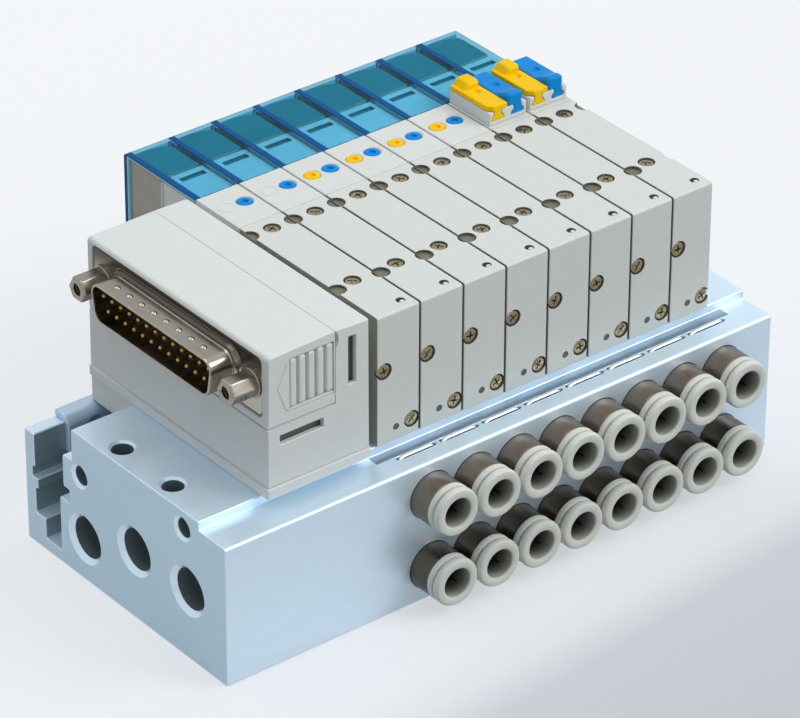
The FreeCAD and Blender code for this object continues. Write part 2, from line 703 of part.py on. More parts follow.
def build():
    stations = range(STATIONS)
    rows = (("upper", UPPER_FITTING_Z), ("lower", LOWER_FITTING_Z))
    nodes = {
        "manifold_base": manifold_base(),
        "channel_bracket": channel_bracket(),
        "connector_base": housing_base(),
        "connector_housing": housing_body(),
        "connector_block": connector_block(),
        "hinge_pin": hinge_pin(),
        "release_button": release_button(),
        "dsub_shell": dsub_shell(),
        "dsub_insert": dsub_insert(),
        "dsub_pins": group([plug_pin(y, z) for y, z in pin_sites()]),
        "jack_screws": group([jack_screw(side) for side in (-1, 1)]),
        "fitting_sleeves": group([sleeve(fitting_x(k), z) for _, z in rows for k in stations]),
        "fitting_clips": group([clip(k) for k in stations]),
        "valve_gaskets": group([gasket(k) for k in stations]),
        "pilot_cases": group([pilot_case(k) for k in stations]),
        "pilot_coils": group([pilot_coil(k) for k in stations]),
        "lamp_covers": group([lamp_cover(k) for k in stations]),
    }
    for k in stations:
        nodes["valve_body_%d" % (k + 1)] = valve_body(k)
    for row, z in rows:
        for k in stations:
            nodes["%s_release_ring_%d" % (row, k + 1)] = release_ring(fitting_x(k), z)
    for name, x in button_sites():
        nodes[name] = button(x)
    for k in (STATIONS - 2, STATIONS - 1):
        nodes["slider_holder_%d" % (k + 1)] = slider_holder(k)
        nodes["yellow_slider_%d" % (k + 1)] = slider(k, 0)
        nodes["blue_slider_%d" % (k + 1)] = slider(k, 1)
    return nodes


os.makedirs("parts", exist_ok=True)
for name, shape in build().items():
    shape.exportStep("parts/%s.step" % name)
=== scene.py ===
import math

import bmesh
import bpy
import numpy as np
from mathutils import Matrix, Vector


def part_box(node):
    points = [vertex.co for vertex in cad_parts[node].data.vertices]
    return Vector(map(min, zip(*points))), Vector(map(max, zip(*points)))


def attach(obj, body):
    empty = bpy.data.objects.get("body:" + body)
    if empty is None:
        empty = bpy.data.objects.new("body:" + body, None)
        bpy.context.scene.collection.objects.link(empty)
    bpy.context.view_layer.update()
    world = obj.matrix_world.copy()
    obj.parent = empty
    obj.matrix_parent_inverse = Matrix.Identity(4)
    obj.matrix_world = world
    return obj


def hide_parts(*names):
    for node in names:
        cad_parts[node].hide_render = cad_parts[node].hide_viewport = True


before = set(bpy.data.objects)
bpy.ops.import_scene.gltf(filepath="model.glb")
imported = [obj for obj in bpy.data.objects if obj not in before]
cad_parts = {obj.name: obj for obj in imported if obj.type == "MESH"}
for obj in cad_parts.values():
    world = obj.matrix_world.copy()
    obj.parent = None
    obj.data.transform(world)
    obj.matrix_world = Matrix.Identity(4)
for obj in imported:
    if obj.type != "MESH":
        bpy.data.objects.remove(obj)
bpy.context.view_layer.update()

# Dressed model of a pneumatic valve island. Shapes are worked out in millimetres from the
# base's left end (x), front face (y) and underside (z); metres() takes them to the frame.

MM = 0.001
ORIGIN = np.array(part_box("manifold_base")[0])

STATIONS = 8
PITCH = 10.5
ROW_START = 41.75
STATION_GAP = 0.3
FITTING_SHIFT = 1.9
BASE_LENGTH = 135.5
BASE_DEPTH = 65.0
REAR_HEIGHT = 25.3
PLATEAU = 32.8
LEDGE = 30.9
VALVE_TOP = 61.3
VALVE_FRONT = 7.9
VALVE_REAR = 50.75
FITTING_ROWS = (("upper", 23.4), ("lower", 7.4))
RING_FACE = -8.3
HOUSING = dict(left=14.9, right=38.9, front=6.4, rear=63.3, top=63.5)
BLOCK_RIGHT = 30.8
BLOCK_LOW = 48.0
HINGE = (28.9, 61.6)
EARS = (15.4, 51.3)
CASE_TAIL = 76.4
PLUG_Y = 34.85
PLUG_Z = 56.1


def metres(points):
    """Millimetres from the base's left end, front face and underside, as metres."""
    return np.asarray(points, float) * MM + ORIGIN


def station_x(k):
    """Left edge of station k, counted from 0."""
    return ROW_START + k * PITCH


def fitting_x(k):
    """Axis of the two fittings of station k."""
    return station_x(k) + PITCH / 2 + FITTING_SHIFT


# Shapes
def rounded(corners, radii, steps=5, hollow=1e9):
    """Closed outline and its outward normals: corner k is an arc of radii[k] tangent to
    both sides, its points the circle's centre plus the radius times a turning direction.
    The last result is how far each point may step in: hollow limits the inner corners."""
    p = np.asarray(corners, float)
    r = np.broadcast_to(np.asarray(radii, float), (len(p),))[:, None]
    u = np.roll(p, 1, axis=0) - p
    v = np.roll(p, -1, axis=0) - p
    u /= np.linalg.norm(u, axis=1, keepdims=True)
    v /= np.linalg.norm(v, axis=1, keepdims=True)
    half = np.arccos(np.clip((u * v).sum(1), -1, 1))[:, None] / 2
    middle = (u + v) / np.linalg.norm(u + v, axis=1, keepdims=True)
    centre = p + middle * r / np.sin(half)
    start = (p + u * r / np.tan(half) - centre) / r
    stop = (p + v * r / np.tan(half) - centre) / r
    turn = np.pi - 2 * half
    s = np.linspace(0, 1, steps)[None, :]
    a = (np.sin((1 - s) * turn) / np.sin(turn))[..., None]
    b = (np.sin(s * turn) / np.sin(turn))[..., None]
    out = a * start[:, None] + b * stop[:, None]
    points = centre[:, None] + out * r[..., None]
    side = np.sign(-u[:, 0] * v[:, 1] + u[:, 1] * v[:, 0])[:, None, None]
    room = np.where(side > 0, r[..., None] * 0.98, hollow) * np.ones_like(out[..., :1])
    return points.reshape(-1, 2), (out * side).reshape(-1, 2), room.reshape(-1, 1)


def loft(loops, caps=True, wrap=False):
    """Skin over closed loops: point j of loop i joins point j of loop i + 1; flat caps
    close the ends, or the last loop joins the first."""
    loops = np.asarray(loops, float)
    rows, count = loops.shape[:2]
    index = np.arange(rows * count).reshape(rows, count)
    if wrap:
        index = np.concatenate([index, index[:1]])
    turn = np.roll(index, -1, axis=1)
    quads = np.stack([index[:-1], turn[:-1], turn[1:], index[1:]], axis=-1)
    faces = quads.reshape(-1, 4).tolist()
    if caps and not wrap:
        faces += [index[0][::-1].tolist(), index[-1].tolist()]
    return loops.reshape(-1, 3), faces


def to_axis(flat, along, axis):
    """Points (u, v) at a distance along an axis: x takes (y, z), y (x, z), z (x, y)."""
    along = np.broadcast_to(along, flat.shape[:-1])
    u, v = flat[..., 0], flat[..., 1]
    order = {"x": (along, u, v), "y": (u, along, v), "z": (u, v, along)}[axis]
    return np.stack(order, axis=-1)


def bar(corners, radii, axis, start, stop, ends=(0.0, 0.0), steps=5, rise=4, hollow=1e9):
    """Extruded outline with rounded corners; each end is rounded by a quarter circle:
    the outline steps in by e(1 - sin t) while the section moves out by e(1 - cos t)."""
    outline, normal, room = rounded(corners, radii, steps, hollow)
    stages = []
    for end, place, way in ((ends[0], start, 1), (ends[1], stop, -1)):
        t = np.linspace(0, np.pi / 2, rise) if end > 0 else np.array([np.pi / 2])
        part = [(place + way * end * (1 - np.cos(a)), end * (1 - np.sin(a))) for a in t]
        stages += part if way > 0 else part[::-1]
    loops = [to_axis(outline - normal * np.minimum(inset, room), place, axis)
             for place, inset in stages]
    return loft(loops)


def block(low, high, edge, axis="z", ends=None):
    """Rounded box between two corners."""
    keep = {"x": (1, 2), "y": (0, 2), "z": (0, 1)}[axis]
    along = "xyz".index(axis)
    (a, b), (c, d) = [low[i] for i in keep], [high[i] for i in keep]
    ends = (edge, edge) if ends is None else ends
    return bar([(a, b), (c, b), (c, d), (a, d)], edge, axis, low[along], high[along], ends)


def lathe(profile, centre, axis, segments=48, wrap=False):
    """Surface of revolution: each (radius, distance) pair sweeps a circle round the axis."""
    profile = np.asarray(profile, float)
    angle = np.linspace(0, 2 * np.pi, segments, endpoint=False)
    circle = np.stack([np.cos(angle), np.sin(angle)], axis=-1)
    flat = profile[:, :1, None] * circle[None]
    loops = to_axis(flat, profile[:, 1:2], axis) + np.asarray(centre, float)
    return loft(loops, wrap=wrap)


def moved(shape, by):
    """Every point shifted by one vector."""
    return shape[0] + np.asarray(by, float), shape[1]


def turned(shape, matrix, by=(0, 0, 0)):
    """Every point times a 3 x 3 matrix, then shifted."""
    return shape[0] @ np.asarray(matrix, float).T + np.asarray(by, float), shape[1]


def joined(shapes):
    """One shape from several, with the face indices shifted past the earlier points."""
    points, faces, start = [], [], 0
    for some, polygons in shapes:
        points.append(some)
        faces += [[i + start for i in face] for face in polygons]
        start += len(some)
    return np.concatenate(points), faces


def mesh_of(name, shape):
    """Mesh in metres from a shape, which is its points in millimetres and its faces."""
    mesh = bpy.data.meshes.new(name)
    mesh.from_pydata(metres(shape[0]).tolist(), [], shape[1])
    mesh.validate()
    return mesh


def outward(mesh):
    """Merge doubles and turn every shell's faces outwards."""
    bm = bmesh.new()
    bm.from_mesh(mesh)
    bmesh.ops.remove_doubles(bm, verts=bm.verts, dist=1e-7)
    bmesh.ops.recalc_face_normals(bm, faces=bm.faces)
    bm.to_mesh(mesh)
    bm.free()


def carve(shape, cutters):
    """The shape less the cutters, as a new shape in millimetres."""
    made = []
    for label, part in (("carved", shape), ("cutter", joined(cutters))):
        mesh = mesh_of(label, part)
        outward(mesh)
        made.append(bpy.data.objects.new(label, mesh))
        bpy.context.scene.collection.objects.link(made[-1])
    cutting = made[0].modifiers.new("cut", "BOOLEAN")
    cutting.object = made[1]
    cutting.operation = "DIFFERENCE"
    cutting.solver = "EXACT"
    bpy.context.view_layer.update()
    result = made[0].evaluated_get(bpy.context.evaluated_depsgraph_get()).to_mesh()
    co = np.empty(len(result.vertices) * 3)
    result.vertices.foreach_get("co", co)
    faces = [list(p.vertices) for p in result.polygons]
    made[0].evaluated_get(bpy.context.evaluated_depsgraph_get()).to_mesh_clear()
    for obj in made:
        mesh = obj.data
        bpy.data.objects.remove(obj)
        bpy.data.meshes.remove(mesh)
    return (co.reshape(-1, 3) - ORIGIN) / MM, faces


def hole(radius, centre, axis, way, depth, rim=0.12, segments=40):
    """Cutter for a round blind hole with a small rounded rim; way points out of it."""
    profile = [(radius, -depth), (radius, -rim), (radius + 0.3 * rim, -0.3 * rim),
               (radius + rim, 0), (radius + rim, 1.0)]
    return lathe([(r, way * d) for r, d in profile], centre, axis, segments)


def pocket(corners, radius, axis, surface, way, depth, rim=0.12, steps=5):
    """Cutter for a pocket of any outline with a small chamfer at its mouth."""
    outline, normal, _ = rounded(corners, radius, steps)
    stages = ((-depth, 0.0), (-rim, 0.0), (0.0, rim), (1.0, rim))
    return loft([to_axis(outline + normal * grow, surface + way * d, axis)
                 for d, grow in stages])


def rectangle(u0, u1, v0, v1):
    """Corners of a rectangle, anticlockwise from the lowest of both."""
    return [(u0, v0), (u1, v0), (u1, v1), (u0, v1)]


def between(values, low, high):
    """True where a value lies above low and below high."""
    return (values > low) & (values < high)


def painted(mesh, zones):
    """Give the faces whose centres (mm) and normals pass test k the material k + 1."""
    count = len(mesh.polygons)
    centre, normal = np.empty(count * 3), np.empty(count * 3)
    mesh.polygons.foreach_get("center", centre)
    mesh.polygons.foreach_get("normal", normal)
    centre = (centre.reshape(-1, 3) - ORIGIN) / MM
    index = np.zeros(count, int)
    for k, zone in enumerate(zones):
        index[zone(centre, normal.reshape(-1, 3))] = k + 1
    mesh.polygons.foreach_set("material_index", index)


def piece(name, shape, material, body, stands_for=(), sharp=32, zones=()):
    """A finished object: outward faces, smooth shading up to the sharp angle, normals
    weighted by face area, riding its body; zones are (material, test) pairs."""
    mesh = mesh_of(name, shape)
    outward(mesh)
    mesh.shade_smooth()
    mesh.set_sharp_from_angle(angle=math.radians(sharp))
    for finish in (material, *[finish for finish, _ in zones]):
        mesh.materials.append(finish)
    painted(mesh, [test for _, test in zones])
    obj = bpy.data.objects.new(name, mesh)
    bpy.context.scene.collection.objects.link(obj)
    weighted = obj.modifiers.new("weighted", "WEIGHTED_NORMAL")
    weighted.keep_sharp = True
    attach(obj, body)
    if stands_for:
        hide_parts(*stands_for)
    return obj


# Materials
def linear(red, green, blue):
    """Screen colour 0 to 255 as a linear colour."""
    c = np.array([red, green, blue]) / 255
    return (*np.where(c <= 0.04045, c / 12.92, ((c + 0.055) / 1.055) ** 2.4), 1.0)


class Nodes:
    """A material's node tree with short ways to add and join nodes."""

    def __init__(self, name):
        """Start from the plain shader and the object's own coordinates."""
        self.material = bpy.data.materials.new(name)
        self.material.use_nodes = True
        self.tree = self.material.node_tree
        self.shader = self.tree.nodes["Principled BSDF"]
        self.output = self.tree.nodes["Material Output"]
        self.place = self.add("ShaderNodeTexCoord").outputs["Object"]

    def add(self, kind, **values):
        """New node; each value goes to the socket of that name, or else to the setting."""
        node = self.tree.nodes.new(kind)
        for key, value in values.items():
            if key in node.inputs:
                node.inputs[key].default_value = value
            else:
                setattr(node, key, value)
        return node

    def link(self, out, into):
        """Join an output to an input."""
        self.tree.links.new(out, into)

    def noise(self, scale, detail=3.0, stretch=None):
        """Cloud noise over the object's coordinates, drawn out where stretch is small."""
        source = self.place
        if stretch:
            mapping = self.add("ShaderNodeMapping")
            mapping.inputs["Scale"].default_value = stretch
            self.link(source, mapping.inputs["Vector"])
            source = mapping.outputs["Vector"]
        node = self.add("ShaderNodeTexNoise", Scale=scale, Detail=detail)
        self.link(source, node.inputs["Vector"])
        return node.outputs["Fac"]

    def ramp(self, source, stops):
        """Colours or greys along a 0 to 1 source."""
        node = self.add("ShaderNodeValToRGB")
        self.link(source, node.inputs["Fac"])
        elements = node.color_ramp.elements
        while len(elements) < len(stops):
            elements.new(0.5)
        for element, (at, value) in zip(elements, stops):
            element.position = at
            element.color = value if len(value) == 4 else (*value, 1.0)
        return node.outputs["Color"]

    def bump(self, height, strength, distance=0.00002):
        """Fine relief of the surface, its distance in metres."""
        node = self.add("ShaderNodeBump", Strength=strength, Distance=distance)
        self.link(height, node.inputs["Height"])
        self.link(node.outputs["Normal"], self.shader.inputs["Normal"])

    def set(self, **values):
        """Constants of the shader, by socket name with underscores for spaces."""
        for key, value in values.items():
            self.shader.inputs[key.replace("_", " ")].default_value = value
        return self


def shade(colour, factor):
    """Colour times a factor, no brighter than 1."""
    return (*[min(1.0, c * factor) for c in colour[:3]], 1.0)


def resin(name, colour, rough=0.45, grain=0.12, vary=0.012, gloss=0.4):
    """Moulded resin: faint cloudiness, fine spark-eroded grain, roughness that wanders."""
    n = Nodes(name)
    n.set(Roughness=rough, Specular_IOR_Level=gloss)
    cloud = n.noise(420.0, 3.0)
    n.link(n.ramp(cloud, [(0.3, shade(colour, 1 - vary)), (0.7, shade(colour, 1 + vary))]),
           n.shader.inputs["Base Color"])
    rough_map = n.noise(700.0, 2.0)
    low, high = rough - 0.05, rough + 0.06
    n.link(n.ramp(rough_map, [(0.2, (low,) * 3), (0.8, (high,) * 3)]), n.shader.inputs["Roughness"])
    n.bump(n.noise(9000.0, 2.0), grain)
    return n.material


def graded(name, first, last, axis, start, stop, rough=0.45, metallic=0.0):
    """A painted shade whose tone runs from first to last between two places on an object axis."""
    n = Nodes(name)
    n.set(Roughness=rough, Metallic=metallic, Specular_IOR_Level=0.3)
    split = n.add("ShaderNodeSeparateXYZ")
    n.link(n.place, split.inputs["Vector"])
    depth = n.add("ShaderNodeMapRange")
    depth.inputs["From Min"].default_value = start
    depth.inputs["From Max"].default_value = stop
    n.link(split.outputs[axis], depth.inputs["Value"])
    middle = tuple((2 * a + 3 * b) / 5 for a, b in zip(first, last))
    n.link(n.ramp(depth.outputs["Result"], [(0.0, first), (0.45, middle), (1.0, last)]),
           n.shader.inputs["Base Color"])
    n.bump(n.noise(4000.0, 2.0), 0.1)
    return n.material


def metal(name, colour, rough=0.3, metallic=1.0, stretch=(1, 1, 1), vary=0.08, grain=0.1,
          scale=1500.0):
    """Plated or anodised metal: drawn lines along one direction and patchy roughness."""
    n = Nodes(name)
    n.set(Roughness=rough, Metallic=metallic)
    lines = n.noise(scale, 4.0, stretch)
    n.link(n.ramp(lines, [(0.3, shade(colour, 1 - vary)), (0.7, shade(colour, 1 + vary))]),
           n.shader.inputs["Base Color"])
    patches = n.noise(120.0, 3.0)
    low, high = max(rough - 0.07, 0.02), rough + 0.08
    n.link(n.ramp(patches, [(0.25, (low,) * 3), (0.75, (high,) * 3)]), n.shader.inputs["Roughness"])
    n.bump(lines, grain)
    return n.material


def tinted_cover(name, colour):
    """Clear tinted plastic: light passes with the tint, and its shadow stays pale."""
    n = Nodes(name)
    n.link(n.ramp(n.noise(60.0, 2.0), [(0.3, shade(colour, 0.96)), (0.7, shade(colour, 1.03))]),
           n.shader.inputs["Base Color"])
    n.set(Roughness=0.03, IOR=1.12, Transmission_Weight=1.0)
    clear = n.add("ShaderNodeBsdfTransparent")
    clear.inputs["Color"].default_value = (0.82, 0.95, 1.0, 1.0)
    path = n.add("ShaderNodeLightPath")
    mix = n.add("ShaderNodeMixShader")
    n.link(path.outputs["Is Shadow Ray"], mix.inputs["Fac"])
    n.link(n.shader.outputs["BSDF"], mix.inputs[1])
    n.link(clear.outputs["BSDF"], mix.inputs[2])
    n.link(mix.outputs["Shader"], n.output.inputs["Surface"])
    return n.material


BASE_BLUE = linear(220, 240, 254)
anodised = metal("anodised_base", BASE_BLUE, rough=0.42, metallic=0.5, stretch=(0.03, 1, 1),
                 vary=0.015, grain=0.03)
end_metal = metal("sawn_end", linear(210, 238, 255), rough=0.5, metallic=0.28, vary=0.01,
                  grain=0.03)
# Painted shadow: darker metal for a strip of the ledge under the valves, standing for the shadow they
# cast.
ledge_shadow_metal = metal("ledge_painted_shadow", linear(138, 152, 164), rough=0.34, metallic=0.8,
                 stretch=(0.02, 1, 1), vary=0.09, grain=0.12, scale=2200.0)
# Painted shade for the walls of the rear channel, the clip slots and the fitting seats.
channel_shade_metal = metal("shaded_channel", linear(150, 168, 176), rough=0.45, metallic=0.5,
              stretch=(0.05, 1, 1))
# Painted highlight for the port countersinks and the rounded edges of the channel's steps.
edge_highlight_metal = metal("painted_edge_highlight", linear(226, 243, 255), rough=0.3, metallic=0.6, vary=0.01)
# Painted shade for the insides of the ports and mounting holes.
bore_shade_metal = metal("painted_bore_shade", linear(132, 150, 154), rough=0.4, metallic=0.5)
bracket_plate = metal("plated_bracket", linear(190, 212, 230), rough=0.42, metallic=0.5,
                      stretch=(0.1, 1, 1), vary=0.02)
clip_metal = metal("bright_clip", linear(236, 241, 245), rough=0.2, stretch=(0.1, 1, 1))
sleeve_metal = metal("nickel_sleeve", linear(130, 118, 105), rough=0.33, stretch=(1, 0.04, 1),
                     vary=0.05, scale=2500.0)
# Painted shade: a darker copy of the sleeve metal for the lower row, which the upper row shades.
shaded_low_sleeve_metal = metal("nickel_sleeve_low_shaded", linear(104, 93, 82), rough=0.33, stretch=(1, 0.04, 1),
                         vary=0.05, scale=2500.0)
plug_metal = metal("nickel_plug", linear(158, 151, 138), rough=0.24, stretch=(1, 0.1, 1))
jack_metal = metal("nickel_jack", linear(154, 146, 134), rough=0.24, stretch=(0.1, 1, 1))
screw_metal = metal("bronzed_screw", linear(158, 144, 116), rough=0.28, vary=0.15)
cap_metal = metal("dull_cap", linear(126, 122, 104), rough=0.55, metallic=0.4, vary=0.12)
gold = metal("gold_pin", linear(176, 138, 66), rough=0.34)
valve_resin = resin("valve_resin", linear(219, 223, 219))
housing_resin = resin("housing_resin", linear(225, 229, 227))
case_resin = resin("pilot_resin", linear(223, 226, 223))
holder_resin = resin("holder_resin", linear(222, 225, 222), rough=0.4)
ring_resin = resin("ring_resin", linear(221, 224, 216), rough=0.4)
# Painted shade: the release ring's bore darkens from its mouth inwards.
ring_bore_shade = graded("ring_bore_shade", linear(186, 189, 180), linear(64, 62, 50), "Y",
                   float(ORIGIN[1] + (RING_FACE + 0.5) * MM), float(ORIGIN[1] - 3.2 * MM))
# Painted shade: the plug plate and the collar's root darken towards the top, where the pocket shades
# them.
plate_shade_metal = graded("nickel_plate_painted_shade", linear(176, 170, 158), linear(84, 77, 68), "Z",
                     float(ORIGIN[2] + (PLUG_Z + 1.0) * MM), float(ORIGIN[2] + (PLUG_Z + 5.2) * MM),
                     rough=0.26, metallic=1.0)
# Painted shade for the valve flanks in the gaps between neighbours.
seam_shade_resin = resin("seam_shade_resin", linear(142, 144, 130))
# Painted shade for the insides of recesses and slots.
recess_shade_resin = resin("recess_shade_resin", linear(96, 98, 92), rough=0.5)
coil_resin = resin("coil_resin", linear(180, 174, 162), rough=0.5, vary=0.08)
lamp_board = resin("lamp_board", linear(40, 140, 142), rough=0.5, vary=0.03)
insert_resin = resin("insert_resin", linear(42, 34, 28), rough=0.4)
blue = resin("blue_override", linear(6, 142, 222), rough=0.35, gloss=0.12)
yellow = resin("yellow_override", linear(254, 204, 4), rough=0.35, gloss=0.12)
rubber = resin("seal_rubber", linear(34, 34, 33), rough=0.7)
cover_tint = tinted_cover("cover_tint", (0.22, 0.53, 0.67, 1.0))
cover_wall = resin("cover_wall", linear(0, 84, 148), rough=0.2, vary=0.06, gloss=0.06)
# Painted light: pale blue for light carried through the clear lid to its edges.
cover_edge_light = resin("cover_edge_light", linear(168, 226, 250), rough=0.2, vary=0.04, gloss=0.1)


# Base
REAR_WALL = 61.8
CHANNEL_FLOOR = 2.8
PLATEAU_FRONT = 8.3
PLATEAU_REAR = 49.2
BASE_OUTLINE = [
    ((0, 0), 0.5), ((BASE_DEPTH, 0), 0.5), ((BASE_DEPTH, REAR_HEIGHT), 0.5),
    ((REAR_WALL, REAR_HEIGHT), 0.4), ((REAR_WALL, 17.7), 0.3), ((62.7, 17.7), 0.3),
    ((62.7, 15.3), 0.3), ((60.9, 15.3), 0.3), ((60.9, 13.0), 0.3), ((REAR_WALL, 13.0), 0.3),
    ((REAR_WALL, 7.3), 0.6), ((58.7, 7.3), 0.4), ((58.7, CHANNEL_FLOOR), 0.5),
    ((53.6, CHANNEL_FLOOR), 0.5), ((53.6, 15.3), 0.4), ((50.3, 15.3), 0.4), ((50.3, 18.3), 0.4),
    ((52.3, 18.3), 0.4), ((52.3, 25.6), 0.5), ((PLATEAU_REAR, 25.6), 0.4),
    ((PLATEAU_REAR, PLATEAU), 0.6), ((PLATEAU_FRONT, PLATEAU), 0.35),
    ((PLATEAU_FRONT, LEDGE), 0.3), ((0, LEDGE), 0.7)]
PORTS = ((12.25, 15.3), (29.25, 15.3), (45.6, 9.4))
PILOT_PORTS = ((13.5, 28.6), (46.7, 23.2))
PORT_BORE = 4.42
PORT_MOUTH = 5.42
PILOT_BORE = 2.05
PILOT_MOUTH = 2.7
MOUNT_ROWS = (21.6, 37.8)
MOUNT_INSET = 4.0
MOUNT_BORE = 2.2
MOUNT_MOUTH = 2.68
CLIP_SLOT = ((-4.85, 4.05), (4.0, 4.05), (4.9, 4.5), (4.2, 5.2), (-4.5, 5.2), (-4.85, 4.85))
SEAT_CUT = ((3.6, 9.0), (3.6, 0.4), (5.18, 0.4), (5.18, -1.0))
# Front edge of the painted valve shadow on the ledge.
SHADOW_STRIP_FRONT = 5.5


def port_cutter(x, y, z, way):
    """Pipe port: a countersink of 45 degrees, then a bore with fine thread rings."""
    turns = np.arange(14)
    ridge = np.stack([PORT_BORE - 0.1 * (turns % 2), -1.6 - turns * 0.8], axis=1)
    mouth = [(PORT_BORE, -0.98), (PORT_MOUTH - 0.06, -0.04), (PORT_MOUTH, 0), (PORT_MOUTH, 1)]
    profile = np.concatenate([ridge[::-1], mouth])
    return lathe([(r, way * d) for r, d in profile], (x, y, z), "x", 64)


def on_ends(c, n):
    """Sawn ends of the bar."""
    return np.abs(n[:, 0]) > 0.99


def from_ends(c):
    """How far inside the nearer end of the base each face lies."""
    return np.minimum(c[:, 0], BASE_LENGTH - c[:, 0])


def in_bores(c, n):
    """Faces deep inside the ports of either end and inside the mounting holes, which get a painted
    shade.
    """
    deep = from_ends(c)
    found = np.zeros(len(c), bool)
    bores = ((PORTS, PORT_BORE + 0.18, 0.75), (PILOT_PORTS, PILOT_BORE + 0.1, 0.4))
    for spots, radius, start in bores:
        for y, z in spots:
            near = np.hypot(c[:, 1] - y, c[:, 2] - z) < radius
            found |= near & between(deep, start, 13)
    for y in MOUNT_ROWS:
        for x in (MOUNT_INSET, BASE_LENGTH - MOUNT_INSET):
            near = np.hypot(c[:, 0] - x, c[:, 1] - y) < MOUNT_BORE + 0.2
            found |= near & (c[:, 2] < PLATEAU - 0.6)
    return found


def on_edges(c, n):
    """Countersinks of the ports and the rounded edges of the channel's steps, which get a painted
    highlight.
    """
    rim = between(c[:, 1], 53.0, 62.8) & between(c[:, 2], CHANNEL_FLOOR - 0.2, REAR_HEIGHT + 0.1)
    found = rim & between(n[:, 2], 0.3, 0.97) & (n[:, 1] < -0.2)
    sunk = between(from_ends(c), 0.02, 0.97)
    rings = ((PORTS, PORT_BORE + 0.03, PORT_MOUTH + 0.08),
             (PILOT_PORTS, PILOT_BORE + 0.03, PILOT_MOUTH + 0.05))
    for spots, inner, outer in rings:
        for y, z in spots:
            found |= sunk & between(np.hypot(c[:, 1] - y, c[:, 2] - z), inner, outer)
    return found


def in_channel(c, n):
    """Walls of the rear channel, the clip slots and the fitting seats, which get a painted shade."""
    x, y, z = c.T
    wall = (np.abs(n[:, 0]) < 0.5) & (n[:, 2] < 0.45)
    channel = wall & between(y, PLATEAU_REAR + 0.05, 62.75) & between(z, 2.7, 25.0)
    slots = between(y, 3.9, 5.3) & between(z, 26, LEDGE - 0.25)
    seats = between(x, 40, 133) & between(y, 0.1, 3.8) & (z < 29)
    return channel | slots | seats


def build_base():
    """Extruded bar, cut by its ports, mounting holes, clip slots and fitting seats."""
    corners, radii = zip(*BASE_OUTLINE)
    shape = bar(corners, radii, "x", 0, BASE_LENGTH, (0.25, 0.25), steps=5, rise=3)
    pilot = ((PILOT_BORE, -6.0), (PILOT_BORE, -0.62), (PILOT_MOUTH - 0.06, -0.03),
             (PILOT_MOUTH, 0), (PILOT_MOUTH, 1))
    mount = ((MOUNT_BORE, -1), (MOUNT_BORE, PLATEAU - 0.5), (MOUNT_MOUTH, PLATEAU),
             (MOUNT_MOUTH, PLATEAU + 1))
    cutters = []
    for x, way in ((0, -1), (BASE_LENGTH, 1)):
        cutters += [port_cutter(x, y, z, way) for y, z in PORTS]
        mouth = [(r, way * d) for r, d in pilot]
        cutters += [lathe(mouth, (x, y, z), "x", 40) for y, z in PILOT_PORTS]
        cutters += [lathe(mount, (x - way * MOUNT_INSET, y, 0), "z", 40) for y in MOUNT_ROWS]
    for k in range(STATIONS):
        middle = fitting_x(k)
        slot = [(middle + u, v) for u, v in CLIP_SLOT]
        cutters.append(pocket(slot, 0.12, "z", LEDGE, 1, 2.6, 0.06))
        cutters += [lathe(SEAT_CUT, (middle, 0, z), "y", 56) for _, z in FITTING_ROWS]
    piece("base_body", carve(shape, cutters), anodised, "island",
          ["manifold_base"], zones=((end_metal, on_ends), (channel_shade_metal, in_channel),
                                    (bore_shade_metal, in_bores), (edge_highlight_metal, on_edges)))
    # Painted shadow of the valves on the ledge: a thin darker strip lying on it.
    section = rectangle(SHADOW_STRIP_FRONT, PLATEAU_FRONT - 0.02, LEDGE - 0.2, LEDGE + 0.03)
    strip = bar(section, 0.02, "x", 40.0, 129.0, (0.02, 0.02), steps=3, rise=3)
    piece("ledge_shadow_strip", strip, ledge_shadow_metal, "island")


SHEET = 1.5
BRACKET_FOOT = 18.8
BRACKET_SPAN = (7.2, 37.0)
BRACKET_HOLE = (13.6, 22.8)


def build_bracket():
    """Bent sheet over the rear wall, with a round screw hole."""
    top, front = REAR_HEIGHT + SHEET, REAR_WALL - SHEET
    outline = [(BASE_DEPTH, REAR_HEIGHT), (BASE_DEPTH, top), (front, top), (front, BRACKET_FOOT),
               (REAR_WALL, BRACKET_FOOT), (REAR_WALL, REAR_HEIGHT)]
    shape = bar(outline, [0.2, 0.4, 2.5, 0.3, 0.3, 0.9], "x", *BRACKET_SPAN, (0.3, 0.3))
    x, z = BRACKET_HOLE
    cutter = lathe([(2.25, 58.0), (2.25, 63.0)], (x, 0, z), "y", 40)
    piece("bracket_sheet", carve(shape, [cutter]), bracket_plate, "island",
          ["channel_bracket"])


CLIP_PATH = ((4.5, 0, -1.5), (4.15, 0, -0.6), (3.7, 0, -0.12), (3.2, 0, 0.06), (2.6, 0, 0.1),
             (-2.9, 0, 0.1), (-3.4, -0.03, 0.04), (-3.8, -0.12, -0.1), (-4.2, -0.2, -0.35),
             (-4.45, -0.2, -0.8), (-4.5, -0.15, -1.6))
CLIP_LINE = 4.74


def build_clips():
    """Bright staples lying in their slots: an ellipse, half axes 0.46 and 0.4, is carried
    along a path whose right end dips and whose left end is a hook."""
    path = np.array(CLIP_PATH)
    tangent = np.gradient(path, axis=0)
    tangent /= np.linalg.norm(tangent, axis=1, keepdims=True)
    normal = np.stack([-tangent[:, 2], 0 * tangent[:, 0], tangent[:, 0]], axis=1)
    normal *= np.sign(normal[:, 2:] + 1e-9)
    angle = np.linspace(0, 2 * np.pi, 20, endpoint=False)
    across = 0.46 * np.cos(angle)[None, :, None] * np.array([0, 1, 0])
    up = 0.4 * np.sin(angle)[None, :, None] * normal[:, None, :]
    clip = loft(path[:, None, :] + across + up)
    shapes = [moved(clip, (fitting_x(k), CLIP_LINE, LEDGE - 0.1)) for k in range(STATIONS)]
    piece("clip_bars", joined(shapes), clip_metal, "island", ["fitting_clips"])


